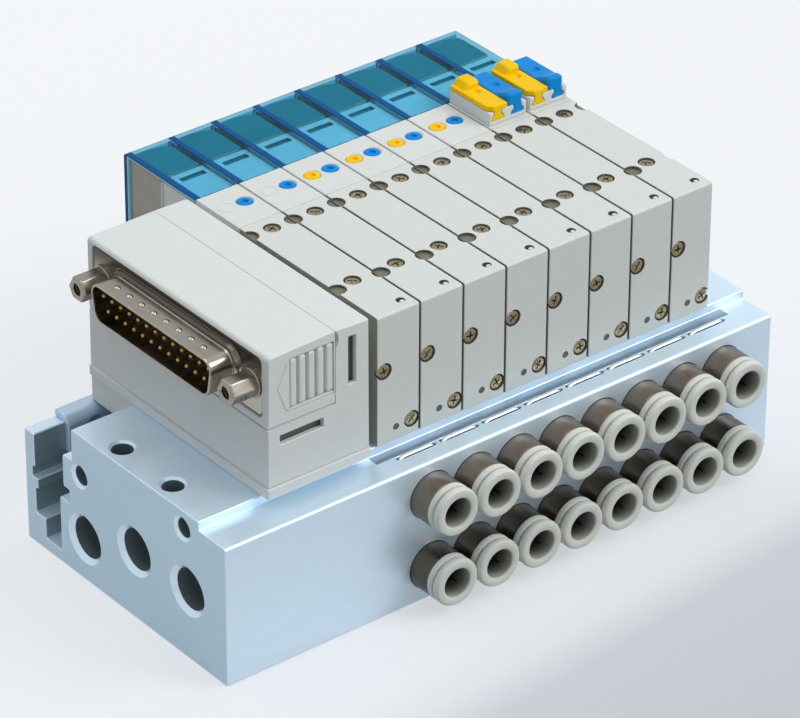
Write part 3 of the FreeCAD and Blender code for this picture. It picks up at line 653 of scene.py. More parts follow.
# Fittings
SLEEVE_PROFILE = ((4.05, 0.33), (5.02, 0.33), (5.05, 0.2), (5.05, -4.7), (4.99, -4.88),
                  (4.85, -4.92), (4.05, -4.92))
COLLAR_PROFILE = ((4.06, -4.94), (4.86, -4.94), (4.98, -5.02), (5.02, -5.16), (5.0, -5.9),
                  (4.92, -6.1), (4.76, -6.2), (4.06, -6.2))
SEAL_PROFILE = ((3.58, 1.1), (3.58, 0.25), (2.6, 0.25), (2.35, 0.5), (2.35, 1.1))
STOP_PROFILE = ((3.58, 8.9), (3.58, 8.6), (0.2, 8.6), (0.2, 8.9))
RING_PROFILE = ((3.5, 0), (4.4, 0), (4.75, 0.12), (4.97, 0.42), (5.05, 0.85), (5.05, 1.3),
                (4.98, 1.45), (4.82, 1.5), (4.0, 1.5), (4.0, 6.9), (3.9, 7.0), (3.1, 7.0),
                (3.1, 0.5), (3.2, 0.18))


def in_tube(c, n):
    """Faces inside a fitting's bore, behind the rounded mouth, which get a painted shade that darkens
    deeper in.
    """
    columns = fitting_x(np.arange(STATIONS))
    rows = np.array([z for _, z in FITTING_ROWS])
    across = np.abs(c[:, None, 0] - columns).min(axis=1)
    rise = np.abs(c[:, None, 2] - rows).min(axis=1)
    return (np.hypot(across, rise) < 3.35) & (c[:, 1] > RING_FACE + 0.6)


def build_fittings():
    """Nickel sleeves with resin collars and seals, and the split release rings."""
    # The lower row's sleeves take the shaded copy of the metal.
    for (row, z), finish in zip(FITTING_ROWS, (sleeve_metal, shaded_low_sleeve_metal)):
        spots = [(fitting_x(k), 0, z) for k in range(STATIONS)]
        tubes = [lathe(SLEEVE_PROFILE, at, "y", 64, wrap=True) for at in spots]
        collars = [lathe(COLLAR_PROFILE, at, "y", 64, wrap=True) for at in spots]
        seats = [lathe(profile, at, "y", count, wrap=True) for at in spots
                 for profile, count in ((SEAL_PROFILE, 40), (STOP_PROFILE, 32))]
        piece(row + "_sleeve_tubes", joined(tubes), finish, "island",
              ["fitting_sleeves"])
        piece(row + "_sleeve_collars", joined(collars), ring_resin, "island")
        piece(row + "_sleeve_seats", joined(seats), rubber, "island")
    profile = [(r, RING_FACE + d) for r, d in RING_PROFILE]
    slit = block((-0.2, RING_FACE + 3.2, 2.7), (0.2, RING_FACE + 7.4, 4.3), 0.02)
    turns = []
    for a in np.radians([45, 135, 225, 315]):
        turns.append([[np.cos(a), 0, np.sin(a)], [0, 1, 0], [-np.sin(a), 0, np.cos(a)]])
    for row, z in FITTING_ROWS:
        for k in range(STATIONS):
            name = "%s_release_ring_%d" % (row, k + 1)
            at = (fitting_x(k), 0, z)
            ring = carve(lathe(profile, at, "y", 64, wrap=True),
                         [turned(slit, turn, at) for turn in turns])
            piece(name + "_body", ring, ring_resin, name, [name],
                  zones=((ring_bore_shade, in_tube),))


# Screws
HEAD_PROFILE = ((1.55, -0.5), (1.6, -0.42), (1.58, -0.12), (1.42, 0.06), (1.0, 0.16), (0.4, 0.2))
CROSS_STEPS = ((-0.45, 0.55), (0.5, 1.1))


def screw_shape():
    """Pan head with a cross recess of two tapered bars: axis z, the rim at height 0."""
    head = lathe(HEAD_PROFILE, (0, 0, 0), "z", 36)
    for a, b in ((1.05, 0.19), (0.19, 1.05)):
        corners = np.array([(-a, -b, 0), (a, -b, 0), (a, b, 0), (-a, b, 0)])
        arm = loft([corners * size + (0, 0, height) for height, size in CROSS_STEPS])
        head = carve(head, [arm])
    return head


UP = np.eye(3)
FORWARD = np.array([[1, 0, 0], [0, 0, -1], [0, 1, 0]])


def spun(matrix, degrees):
    """The matrix after a turn of its own z axis by an angle."""
    a = math.radians(degrees)
    turn = np.array([[math.cos(a), -math.sin(a), 0], [math.sin(a), math.cos(a), 0], [0, 0, 1]])
    return matrix @ turn


# Valves
VALVE_INSET = 0.21
NOTCHES = ((0.9, 21.0), (0.0, 47.1))
NOTCH_DEEP = 0.6
NOTCH_RADIUS = 1.85
TOP_SCREWS = ((5.25, 47.0), (5.3, 22.0))
FRONT_SCREWS = ((1.9, 49.0), (8.6, 36.0))
SCREW_DROP = 0.34
PEG_HOLE = (7.9, 10.7)
PEG = (8.05, 10.35)
PEG_PROFILE = ((0.55, -1.0), (0.55, -0.25), (0.45, -0.1), (0.2, -0.06))
FRONT_DOT = (4.8, 35.7)


def valve_cutters(left):
    """Recesses of one valve whose station starts at left."""
    cutters = [hole(NOTCH_RADIUS, (x + shift, y, VALVE_TOP), "z", 1, NOTCH_DEEP, 0.06)
               for x in (left, left + PITCH) for shift, y in NOTCHES]
    cutters += [hole(1.75, (left + x, y, VALVE_TOP), "z", 1, 0.8, 0.08) for x, y in TOP_SCREWS]
    x, y = PEG_HOLE
    cutters.append(hole(0.95, (left + x, y, VALVE_TOP), "z", 1, 0.9, 0.06))
    cutters += [hole(1.8, (left + x, VALVE_FRONT, z), "y", -1, 0.8, 0.1) for x, z in FRONT_SCREWS]
    x, z = FRONT_DOT
    cutters.append(hole(0.72, (left + x, VALVE_FRONT, z), "y", -1, 0.18, 0.12))
    return cutters


def in_notches(c, n):
    """Floors of the round notches in the valves' tops."""
    floor = (n[:, 2] > 0.9) & (np.abs(c[:, 2] - (VALVE_TOP - NOTCH_DEEP)) < 0.02)
    rows = [np.abs(c[:, 1] - y) < NOTCH_RADIUS + 0.05 for _, y in NOTCHES]
    return floor & (rows[0] | rows[1])


def in_recesses(c, n):
    """Walls and floors of the screw recesses and notches, below their rims, which get a painted shade.
    """
    x, y, z = c.T
    top = between(z, VALVE_TOP - 1.0, VALVE_TOP - 0.1) & between(y, 9.0, 49.5) \
        & (np.abs(x % PITCH - ROW_START % PITCH) > 0.3)
    front = between(y, VALVE_FRONT + 0.12, VALVE_FRONT + 0.95) & between(z, 33.5, 51.5)
    round_wall = np.abs(n[:, 0]) < 0.99
    return (top | front) & round_wall & ~in_notches(c, n)


def in_seams(c, n):
    """Flanks of the valves that face a neighbour, which get a painted shade."""
    return (np.abs(n[:, 0]) > 0.9) & (c[:, 0] < station_x(STATIONS) - 1.0)


def build_valves():
    """One carved body repeated at every station, with its screws and pegs."""
    left = station_x(0)
    outline = rectangle(VALVE_FRONT, VALVE_REAR, PLATEAU, VALVE_TOP)
    shape = bar(outline, [0.2, 0.2, 0.2, 0.55], "x", left + VALVE_INSET,
                left + PITCH - VALVE_INSET, (0.22, 0.22), steps=6, rise=4)
    shape = carve(shape, valve_cutters(left))
    screw = screw_shape()
    heads, pegs = [], []
    for k in range(STATIONS):
        x = station_x(k)
        piece("valve_shell_%d" % (k + 1), moved(shape, (k * PITCH, 0, 0)), valve_resin, "island",
              ["valve_body_%d" % (k + 1)],
              zones=((seam_shade_resin, in_seams), (recess_shade_resin, in_recesses), (cap_metal, in_notches)))
        spots = [((x + u, y, VALVE_TOP - SCREW_DROP), UP, turn)
                 for (u, y), turn in zip(TOP_SCREWS, (20, 50))]
        spots += [((x + u, VALVE_FRONT + SCREW_DROP, z), FORWARD, turn)
                  for (u, z), turn in zip(FRONT_SCREWS, (12, 38))]
        heads += [turned(screw, spun(base, turn + 37 * k), spot) for spot, base, turn in spots]
        pegs.append(lathe(PEG_PROFILE, (x + PEG[0], PEG[1], VALVE_TOP), "z", 24))
    piece("valve_screws", joined(heads), screw_metal, "island")
    piece("valve_pegs", joined(pegs), valve_resin, "island")


CASE_FRONT = 50.87
CASE_FOOT = 34.5
CASE_STEP = 64.8
CASE_LOW = 60.2
SLOT_LEFT = 3.2
SLOT_RIGHT = 9.2
OVERRIDE_LINE = 58.6
PUSH_STATIONS = 6
# Push overrides: colour, place across the station and first station that has one.
OVERRIDES = (("blue", 7.4, 0), ("yellow", 2.9, 2))
PAINTS = {"blue": blue, "yellow": yellow}


def in_pockets(c, n):
    """The small slots in the tails of the pilot cases."""
    x, y, z = c.T
    across = between((x - ROW_START) % PITCH, SLOT_LEFT - 0.2, SLOT_RIGHT + 0.2)
    return across & between(y, 73.0, 74.7) & between(z, CASE_LOW - 0.7, CASE_LOW - 0.1)


def build_pilots():
    """Stepped cases with a slot in the tail, a groove down the left flank and round holes
    for the overrides; the two stations with no yellow override have a faint ring."""
    outline = [(CASE_FRONT, CASE_FOOT), (CASE_TAIL, CASE_FOOT), (CASE_TAIL, CASE_LOW),
               (CASE_STEP, CASE_LOW), (CASE_STEP, VALVE_TOP), (CASE_FRONT, VALVE_TOP)]
    well = ((1.7, 57.2), (1.7, 61.0), (1.78, 61.12), (2.0, VALVE_TOP), (2.0, 62))
    ring = ((1.75, 62), (1.75, 61.22), (1.62, 61.22), (1.62, 62))
    cases = []
    for k in range(STATIONS):
        x = station_x(k)
        x0, x1 = x + 0.2, x + PITCH - 0.2
        shape = bar(outline, [0.3, 0.35, 0.35, 0.1, 0.25, 0.15], "x", x0, x1, (0.2, 0.2))
        slot = rectangle(x + SLOT_LEFT, x + SLOT_RIGHT, 73.1, 74.6)
        cutters = [pocket(slot, 0.25, "z", CASE_LOW, 1, 0.6, 0.02),
                   block((x0 - 1.0, 75.35, 33.0), (x0 + 0.4, 75.8, 62.0), 0.02)]
        for _, at, first in OVERRIDES:
            spot = (x + at, OVERRIDE_LINE, 0)
            if first <= k < PUSH_STATIONS:
                cutters.append(lathe(well, spot, "z", 40))
            elif k < first:
                cutters.append(lathe(ring, spot, "z", 40, wrap=True))
        cases.append(carve(shape, cutters))
    piece("pilot_shells", joined(cases), case_resin, "island", ["pilot_cases"],
          zones=((lamp_board, in_pockets),))


def build_buttons():
    """Round overrides with a dimple and a rounded rim."""
    top = VALVE_TOP - 0.05
    profile = [(1.65, top - 3.0), (1.65, top - 0.22), (1.58, top - 0.06), (1.45, top), (0.8, top),
               (0.68, top - 0.1), (0.6, top - 0.4), (0.2, top - 0.46)]
    for k in range(PUSH_STATIONS):
        for label, at, first in OVERRIDES:
            if k >= first:
                name = "%s_override_%d" % (label, k + 1)
                shape = lathe(profile, (station_x(k) + at, OVERRIDE_LINE, 0), "z", 40)
                piece(name + "_cap", shape, PAINTS[label], name, [name])


def board_top(c, n):
    """Upper faces of the coils, where the lamp boards lie."""
    return n[:, 2] > 0.7


COVER_FRONT = 64.92
COVER_REAR = 88.5
COVER_FOOT = 38.0
COIL_FOOT = 36.0
COIL_TOP = 60.5


def lid_part(x, start, stop, low, inner, rear, top, curve):
    """L-shaped profile, a top above low and a rear wall behind inner, drawn along x."""
    profile = [(COVER_FRONT, top), (COVER_FRONT, low), (inner, low), (inner, COVER_FOOT),
               (rear, COVER_FOOT), (rear, top)]
    return bar(profile, [0.1, 0.1, 0.4, 0.15, 0.15, curve], "x", x + start, x + stop,
               (0.05, 0.05), steps=7, rise=3)


def build_covers():
    """Coils with their lamp boards under clear lids; each lid has a deep blue left wall with a pale blue
    lining, painted light that stands for light carried through the clear plastic."""
    coils, clear, walls, light_linings = [], [], [], []
    for k in range(STATIONS):
        x = station_x(k)
        front = CASE_TAIL + 0.22
        outline = [(x + 0.5, front), (x + 9.88, front), (x + 9.88, 86.1), (x + 4.8, 87.75),
                   (x + 0.5, 86.8)]
        coils.append(bar(outline, [0.3, 0.3, 1.5, 6.0, 0.7], "z", COIL_FOOT, COIL_TOP,
                         (0.3, 0.3), steps=8))
        clear.append(lid_part(x, 1.42, PITCH - 0.08, 60.56, 87.62, COVER_REAR, VALVE_TOP, 0.9))
        walls.append(lid_part(x, 0.08, 1.4, 61.0, 87.65, COVER_REAR, VALVE_TOP, 0.9))
        light_linings.append(lid_part(x, 0.14, 1.4, 60.56, 87.06, 87.63, 60.98, 0.2))
    piece("coil_bodies", joined(coils), coil_resin, "island", ["pilot_coils"],
          zones=((lamp_board, board_top),))
    piece("cover_plates", joined(clear), cover_tint, "island", ["lamp_covers"])
    piece("cover_walls", joined(walls), cover_wall, "island")
    # The pale linings are painted light carried through the clear plastic.
    piece("cover_light_linings", joined(light_linings), cover_edge_light, "island")


# Sliders
SLIDER_FRONT = 52.0
SLIDER_REAR = 64.7
HOLDER_TOP = VALVE_TOP + 2.9
SLOT_FLOOR = VALVE_TOP + 0.8
RAIL_FOOT = SLOT_FLOOR + 0.08
SLIDE_LOW = HOLDER_TOP + 0.1
SLIDE_TOP = SLIDE_LOW + 1.1
DIMPLE_LINE = 59.2


def holder_shape(x0, x1, middles):
    """Bar with two T-shaped slots: 1.6 to each side at the foot, 1.0 at the neck."""
    outline = [(x0, VALVE_TOP), (x1, VALVE_TOP), (x1, HOLDER_TOP)]
    radii = [0.15, 0.15, 0.35]
    for m in reversed(middles):
        outline += [(m + 1.0, HOLDER_TOP), (m + 1.0, SLOT_FLOOR + 1.3), (m + 1.6, SLOT_FLOOR + 0.7),
                    (m + 1.6, SLOT_FLOOR), (m - 1.6, SLOT_FLOOR), (m - 1.6, SLOT_FLOOR + 0.7),
                    (m - 1.0, SLOT_FLOOR + 1.3), (m - 1.0, HOLDER_TOP)]
        radii += [0.35, 0.2, 0.2, 0.2, 0.2, 0.2, 0.2, 0.35]
    return bar(outline + [(x0, HOLDER_TOP)], radii + [0.35], "y", SLIDER_FRONT, SLIDER_REAR,
               (0.25, 0.25))


def build_sliders():
    """Holders of the last two stations, each with a yellow and a blue slide."""
    for k in range(PUSH_STATIONS, STATIONS):
        x = station_x(k)
        x0, x1 = x + STATION_GAP / 2 + 0.3, x + PITCH - STATION_GAP / 2 - 0.3
        quarter = (PITCH - STATION_GAP) / 4
        middles = (x + STATION_GAP / 2 + quarter, x + PITCH - STATION_GAP / 2 - quarter)
        piece("holder_%d" % (k + 1), holder_shape(x0, x1, middles), holder_resin, "island",
              ["slider_holder_%d" % (k + 1)])
        for side, label in enumerate(("yellow", "blue")):
            name = "%s_slider_%d" % (label, k + 1)
            piece(name + "_body", slider_shape(middles[side], x, side), PAINTS[label], name,
                  [name])


def slider_shape(m, x, side):
    """Footed rail, flat plate with one cut corner and a dimple, rounded thumb hump."""
    rail = bar([(m - 1.52, RAIL_FOOT), (m + 1.52, RAIL_FOOT), (m + 1.52, RAIL_FOOT + 0.54),
                (m + 0.92, RAIL_FOOT + 1.14), (m + 0.92, SLIDE_LOW + 0.3),
                (m - 0.92, SLIDE_LOW + 0.3), (m - 0.92, RAIL_FOOT + 1.14),
                (m - 1.52, RAIL_FOOT + 0.54)], [0.2, 0.2, 0.2, 0.25, 0.1, 0.1, 0.25, 0.2], "y",
               SLIDER_FRONT, SLIDER_REAR, (0.2, 0.2))
    centre = x + PITCH / 2
    left, right = ((x + 0.45, centre - 0.1), (centre + 0.1, x + PITCH - 0.45))[side]
    root, crest = SLIDE_TOP - 0.4, SLIDE_TOP + 1.3
    if side == 0:
        corners = [(left + 1.1, SLIDER_FRONT), (right, SLIDER_FRONT), (right, SLIDER_REAR),
                   (left, SLIDER_REAR), (left, 53.4)]
        radii = [0.35, 0.3, 0.3, 0.45, 0.5]
        hump = bar([(left + 0.4, root), (right - 0.05, root), (right - 0.05, crest),
                    (left + 1.8, crest)], [0.1, 0.1, 0.6, 1.0], "y", 60.7, 64.6, (1.0, 0.4),
                   steps=8, rise=7)
    else:
        corners = [(left, SLIDER_FRONT), (right - 1.2, SLIDER_FRONT), (right - 1.2, 53.6),
                   (right, 54.6), (right, SLIDER_REAR), (left, SLIDER_REAR)]
        radii = [0.4, 0.4, 0.5, 0.4, 0.3, 0.3]
        hump = bar([(52.02, root), (56.9, root), (56.7, SLIDE_TOP - 0.02), (53.4, crest),
                    (52.02, crest)], [0.1, 0.1, 0.9, 1.2, 0.45], "x", left + 0.05, right - 1.15,
                   (0.8, 0.4), steps=8, rise=6)
    plate = bar(corners, radii, "z", SLIDE_LOW, SLIDE_TOP, (0.2, 0.3))
    dimple = lathe([(0.3, -0.55), (0.7, -0.45), (0.92, -0.2), (1.06, 0.01), (1.1, 0.5)],
                   ((left + right) / 2, DIMPLE_LINE, SLIDE_TOP), "z", 32)
    return joined([rail, carve(plate, [dimple]), hump])


# Plug housing
SIDE_SLOT = (33.9, 35.7, 50.7, 61.1)
LOW_SLOT = (17.8, 28.0, 43.7, 45.7)
SIDE_CAVITY = (33.0, 37.6, 49.9, 61.9)
LOW_CAVITY = (17.2, 28.6, 43.3, 46.1)
SLOT_WALL = 1.3
FOOT_TOP = PLATEAU + 2.2
EAR_WIDE = 3.0
EAR_SECTION = ((-1.1, -6.0), (2.1, -6.0), (2.1, -2.8), (1.1, -2.8), (1.1, 1.1), (-1.1, 1.1))


def in_slots(c, n):
    """Inside of the housing's two narrow openings, behind their front wall, which gets a painted shade.
    """
    x, y, z = c.T
    side = between(x, 32.5, 38.2) & between(z, 49.5, 62.3)
    low = between(x, 16.9, 29.0) & between(z, 42.8, 46.6)
    return (side | low) & between(y, HOUSING["front"] + 0.95, HOUSING["front"] + 4.5)


def cavity(spans, front):
    """Room behind a slot of the housing: its left, right, low and high edges in spans."""
    left, right, low, high = spans
    return block((left, front + 1.0, low), (right, front + 4.0, high), 0.2, "z")


def build_housing():
    """Foot with a rear leg, and the shell with its step, two slots and hinge ears."""
    left, right, front, rear, top = (HOUSING[side] for side in ("left", "right", "front", "rear", "top"))
    flange = block((left - 0.5, front - 0.5, PLATEAU + 0.04), (right + 0.25, rear, FOOT_TOP), 0.5,
                   "z", (0.25, 0.25))
    leg = block((left, 49.32, 26.9), (right, rear, PLATEAU + 0.5), 0.4, "z", (0.2, 0.1))
    piece("housing_foot", joined([flange, leg]), housing_resin, "island",
          ["connector_base"])
    step, low = BLOCK_RIGHT + 0.06, BLOCK_LOW - 0.3
    outline = [(left, FOOT_TOP), (right, FOOT_TOP), (right, top), (step, top), (step, low), (left, low)]
    body = bar(outline, [0.12, 0.12, 0.8, 0.05, 0.3, 0.2], "y", front, rear, (0.6, 0.5),
               steps=6, rise=5, hollow=0.05)
    body = carve(body, [cavity(SIDE_CAVITY, front), cavity(LOW_CAVITY, front)])
    body = carve(body, [pocket(rectangle(*slot), 0.12, "y", front, -1, SLOT_WALL, 0.12)
                        for slot in (SIDE_SLOT, LOW_SLOT)])
    hinge_x, hinge_z = HINGE
    body = carve(body, [lathe([(2.72, front - 1), (2.72, rear + 1)], (hinge_x, 0, hinge_z), "y", 96)])
    corners = [(hinge_x + u, hinge_z + w) for u, w in EAR_SECTION]
    ears = [bar(corners, [0.15, 0.05, 0.05, 0.3, 1.08, 1.08], "y", y, y + EAR_WIDE, (0.1, 0.1),
                steps=9) for y in EARS]
    piece("housing_shell", joined([body] + ears), housing_resin, "island",
          ["connector_housing"], zones=((recess_shade_resin, in_slots),))


ARROW = (((19.5, 60.7), (17.4, 56.0)), ((17.4, 56.0), (19.5, 50.6)),
         ((19.5, 60.7), (19.5, 59.9)), ((19.5, 51.4), (19.5, 50.6)))
ARROW_WIDE = 0.3
PANEL = (20.2, 30.4, 50.2, 61.4)
RIB_COUNT = 5
RIB_PITCH = 2.12
RIB_WIDE = 1.5


def stroke(start, stop, front):
    """Raised line of the arrow outline between two points of the front face."""
    a, b = np.array(start), np.array(stop)
    along = (b - a) / np.linalg.norm(b - a)
    side = np.array([-along[1], along[0]]) * ARROW_WIDE / 2
    return bar([a - side, b - side, b + side, a + side], 0.05, "y", front - 0.12, front + 0.3,
               (0.08, 0.0))


def build_block():
    """Tilting block, with a pocket for the plug, one for the ribbed release panel, two for
    the hinge ears and a bore for the pin; a raised outline points to the panel's left."""
    left, front, rear, top = (HOUSING[side] for side in ("left", "front", "rear", "top"))
    body = bar(rectangle(left, BLOCK_RIGHT, BLOCK_LOW, top), [0.2, 0.1, 0.05, 1.0], "y", front, rear,
               (0.6, 0.5), steps=7, rise=5)
    plug_room = rectangle(PLUG_Y - 26.75, PLUG_Y + 26.75, PLUG_Z - 6.5, PLUG_Z + 6.5)
    panel_left, panel_right, panel_low, panel_high = PANEL
    panel_room = rectangle(panel_left - 0.12, panel_right + 0.12, panel_low - 0.12, panel_high + 0.16)
    cutters = [pocket(plug_room, 1.1, "x", left, -1, 1.0, 0.12),
               pocket(panel_room, 0.2, "y", front, -1, 3.5, 0.05)]
    cutters += [block((27.65, y - 0.15, 55.35), (31.5, y + EAR_WIDE + 0.15, 62.85), 0.05, "z")
                for y in EARS]
    body = carve(body, cutters)
    body = carve(body, [lathe([(0.76, 10.85), (0.76, 58.85)], (HINGE[0], 0, HINGE[1]), "y", 24)])
    arrow = [stroke(start, stop, front) for start, stop in ARROW]
    piece("block_shell", joined([body] + arrow), housing_resin, "plug_block",
          ["connector_block"])
    pad = block((panel_left, front + 1.15, panel_low), (panel_right, front + 2.4, panel_high), 0.2,
                "y", (0.12, 0.1))
    lip = block((panel_left, front + 0.08, panel_low), (panel_right, front + 1.3, panel_low + 0.55),
                0.12, "y", (0.1, 0.0))
    lefts = [panel_left + 0.1 + RIB_PITCH * j for j in range(RIB_COUNT)]
    ribs = [block((x, front, panel_low + 0.9), (x + RIB_WIDE, front + 1.9, panel_high - 0.2), 0.32,
                  "z", (0.3, 0.5)) for x in lefts]
    piece("release_pad", joined([pad, lip] + ribs), housing_resin, "release_button",
          ["release_button"])


COLLAR_WIDE = 38.96
COLLAR_HIGH = 8.36
PIN_PITCH = 2.77
PIN_ROW = 1.42
JACK_SPACING = 47.04
JACK_RADIUS = 2.742
PLATE_HALF = (26.4, 6.15)
DIMPLE_COUNT = 8
DIMPLE_PITCH = 3.9


def d_corners(inset, slant=10.0):
    """Corners of the D outline stepped in by inset; the ends lean by the slant."""
    half, high = COLLAR_WIDE / 2 - inset, COLLAR_HIGH / 2 - inset
    lean = 2 * high * math.tan(math.radians(slant))
    return [(PLUG_Y - half + lean, PLUG_Z - high), (PLUG_Y + half - lean, PLUG_Z - high),
            (PLUG_Y + half, PLUG_Z + high), (PLUG_Y - half, PLUG_Z + high)]


def in_flare(c, n):
    """Rounded root of the collar, which stands in the pocket's shade and gets the plate's painted shade.
    """
    return c[:, 0] > HOUSING["left"] - 0.86


def jack_post(y, left):
    """Hexagonal post with a threaded bore, on a round washer."""
    angle = np.radians(60 * np.arange(6))
    hexagon = np.stack([y + JACK_RADIUS * np.cos(angle), PLUG_Z + JACK_RADIUS * np.sin(angle)], axis=1)
    post = bar(hexagon, 0.5, "x", left - 6.2, left + 0.25, (0.7, 0.05), steps=5, rise=5)
    thread = [(1.22 + 0.1 * (j % 2), left - 5.7 + 0.3 * j) for j in range(15)]
    bore = [(1.5, left - 7.2), (1.5, left - 6.2), (1.22, left - 5.9)] + thread
    washer = [(2.2, left - 0.35), (2.9, left - 0.35), (3.05, left - 0.2), (3.05, left + 0.25),
              (2.2, left + 0.25)]
    return [carve(post, [lathe(bore, (0, y, PLUG_Z), "x", 32)]),
            lathe(washer, (0, y, PLUG_Z), "x", 36, wrap=True)]


def build_plug():
    """Plated plug: a plate, a drawn D collar with a rounded root and rolled mouth, its
    insulator, pins in collars and two jack posts."""
    left = HOUSING["left"]
    outline, normal, _ = rounded(d_corners(0.0), 2.4, 9)
    stages = [(0.3, 1.3), (0.05, 1.0), (-0.5, 0.85), (-0.75, 0.6), (-0.85, 0.15), (-1.3, 0), (-5.6, 0),
              (-5.85, -0.12), (-5.9, -0.3), (-5.85, -0.5), (-5.5, -0.6), (-1.0, -0.6), (0.5, -0.6),
              (0.6, 1.2)]
    collar = loft([to_axis(outline + normal * grow, left + x, "x") for x, grow in stages], wrap=True)
    dimple = [(0.85, -0.3), (0.8, 0.0), (0.62, 0.22), (0.35, 0.36), (0.1, 0.4)]
    middles = PLUG_Y + (np.arange(DIMPLE_COUNT) - (DIMPLE_COUNT - 1) / 2) * DIMPLE_PITCH
    dimples = [lathe(dimple, (left - 3.6, y, PLUG_Z + COLLAR_HIGH / 2), "z", 24) for y in middles]
    piece("plug_shell", joined([collar] + dimples), plug_metal, "plug_block",
          ["dsub_shell"], zones=((plate_shade_metal, in_flare),))
    half, high = PLATE_HALF
    plate = bar(rectangle(PLUG_Y - half, PLUG_Y + half, PLUG_Z - high, PLUG_Z + high), 1.0, "x",
                left + 0.25, left + 1.0, (0.2, 0.1))
    # The plate darkens towards its top: painted shade of the pocket.
    piece("plug_plate", plate, plate_shade_metal, "plug_block")
    inset = bar(d_corners(0.62), 1.8, "x", left - 1.2, left + 0.9, (0.2, 0.1))
    piece("plug_insert", inset, insert_resin, "plug_block", ["dsub_insert"])
    pin = [(0.46, left - 1.0), (0.46, left - 4.4), (0.42, left - 4.62), (0.31, left - 4.8),
           (0.16, left - 4.91), (0.03, left - 4.94)]
    rim = [(0.95, left - 1.0), (0.95, left - 1.3), (0.8, left - 1.45), (0.52, left - 1.45)]
    spots = [(0, PLUG_Y + (j - (count - 1) / 2) * PIN_PITCH, PLUG_Z + side * PIN_ROW)
             for side, count in ((1, 13), (-1, 12)) for j in range(count)]
    pins = [lathe(pin, spot, "x", 20) for spot in spots]
    rims = [lathe(rim, spot, "x", 16) for spot in spots]
    piece("plug_pins", joined(pins), gold, "plug_block", ["dsub_pins"])
    piece("pin_collars", joined(rims), insert_resin, "plug_block")
    posts = [shape for side in (-1, 1) for shape in jack_post(PLUG_Y + side * JACK_SPACING / 2, left)]
    piece("jack_posts", joined(posts), jack_metal, "plug_block", ["jack_screws"])


# Room

# Painted shade on the paper from far to near: place between the two ends of the fall, colour.
FLOOR_SHADE_TONES = ((0.0, (249, 251, 254)), (0.6, (244, 246, 249)), (0.78, (237, 241, 245)),
               (0.815, (229, 233, 238)), (0.85, (206, 210, 216)), (0.97, (199, 203, 209)))
FLOOR_TOWARDS = (0.107, -0.994, 0.0)
FLOOR_FAR, FLOOR_NEAR = 0.0625 - 0.25, 0.0625 + 0.05
FLOOR_BOUNCE = (0.25, 0.25, 0.25, 1.0)
FLOOR_GLOW = 0.62


def floor_finish():
    """Pale paper with a painted shade: its tone falls off towards the camera past a soft slanting edge.
    It is pale to the camera, in gloss and in glass, and duller for the light that it throws back."""
    n = Nodes("pale_floor")
    n.set(Roughness=0.6, Specular_IOR_Level=0.15)
    away = n.add("ShaderNodeVectorMath", operation="DOT_PRODUCT")
    n.link(n.place, away.inputs[0])
    away.inputs[1].default_value = FLOOR_TOWARDS
    span = n.add("ShaderNodeMapRange")
    span.inputs["From Min"].default_value = FLOOR_FAR
    span.inputs["From Max"].default_value = FLOOR_NEAR
    n.link(away.outputs["Value"], span.inputs["Value"])
    # Painted shade over the near part of the floor.
    tone = n.ramp(span.outputs["Result"], [(at, linear(*colour)) for at, colour in FLOOR_SHADE_TONES])
    path = n.add("ShaderNodeLightPath")
    bounce = n.add("ShaderNodeMixRGB")
    n.link(path.outputs["Is Diffuse Ray"], bounce.inputs["Fac"])
    n.link(tone, bounce.inputs["Color1"])
    bounce.inputs["Color2"].default_value = FLOOR_BOUNCE
    n.link(bounce.outputs["Color"], n.shader.inputs["Base Color"])
    glow = n.add("ShaderNodeEmission")
    n.link(tone, glow.inputs["Color"])
    seen = n.add("ShaderNodeMath", operation="SUBTRACT")
    seen.inputs[0].default_value = 1.0
    n.link(path.outputs["Is Diffuse Ray"], seen.inputs[1])
    share = n.add("ShaderNodeMath", operation="MULTIPLY")
    n.link(seen.outputs[0], share.inputs[0])
    share.inputs[1].default_value = FLOOR_GLOW
    mix = n.add("ShaderNodeMixShader")
    n.link(share.outputs[0], mix.inputs["Fac"])
    n.link(n.shader.outputs["BSDF"], mix.inputs[1])
    n.link(glow.outputs["Emission"], mix.inputs[2])
    n.link(mix.outputs["Shader"], n.output.inputs["Surface"])
    return n.material


FLOOR_HALF = 3.0
AMBIENT_COLOUR = (0.95, 0.98, 1.0, 1)
AMBIENT_STRENGTH = 0.4
BACKDROP = linear(234, 240, 247)


def build_room():
    """Pale floor, and a world that is pale to the camera, in gloss and in glass."""
    size = FLOOR_HALF
    floor = bpy.data.meshes.new("floor")
    floor.from_pydata([(-size, -size, 0), (size, -size, 0), (size, size, 0), (-size, size, 0)], [],
                      [(0, 1, 2, 3)])
    floor.materials.append(floor_finish())
    ground = bpy.data.objects.new("floor", floor)
    bpy.context.scene.collection.objects.link(ground)

    world = bpy.data.worlds.new("studio")
    bpy.context.scene.world = world
    world.use_nodes = True
    tree = world.node_tree
    tree.nodes.clear()
    out = tree.nodes.new("ShaderNodeOutputWorld")
    mix = tree.nodes.new("ShaderNodeMixShader")
    path = tree.nodes.new("ShaderNodeLightPath")
    ambient = tree.nodes.new("ShaderNodeBackground")
    ambient.inputs["Color"].default_value = AMBIENT_COLOUR
    ambient.inputs["Strength"].default_value = AMBIENT_STRENGTH
    seen = tree.nodes.new("ShaderNodeBackground")
    seen.inputs["Color"].default_value = BACKDROP
    seen.inputs["Strength"].default_value = 1.0
    tree.links.new(path.outputs["Is Diffuse Ray"], mix.inputs["Fac"])
    tree.links.new(seen.outputs[0], mix.inputs[1])
    tree.links.new(ambient.outputs[0], mix.inputs[2])
    tree.links.new(mix.outputs[0], out.inputs["Surface"])


LAMP_AIM = (0, 0, 0.03)


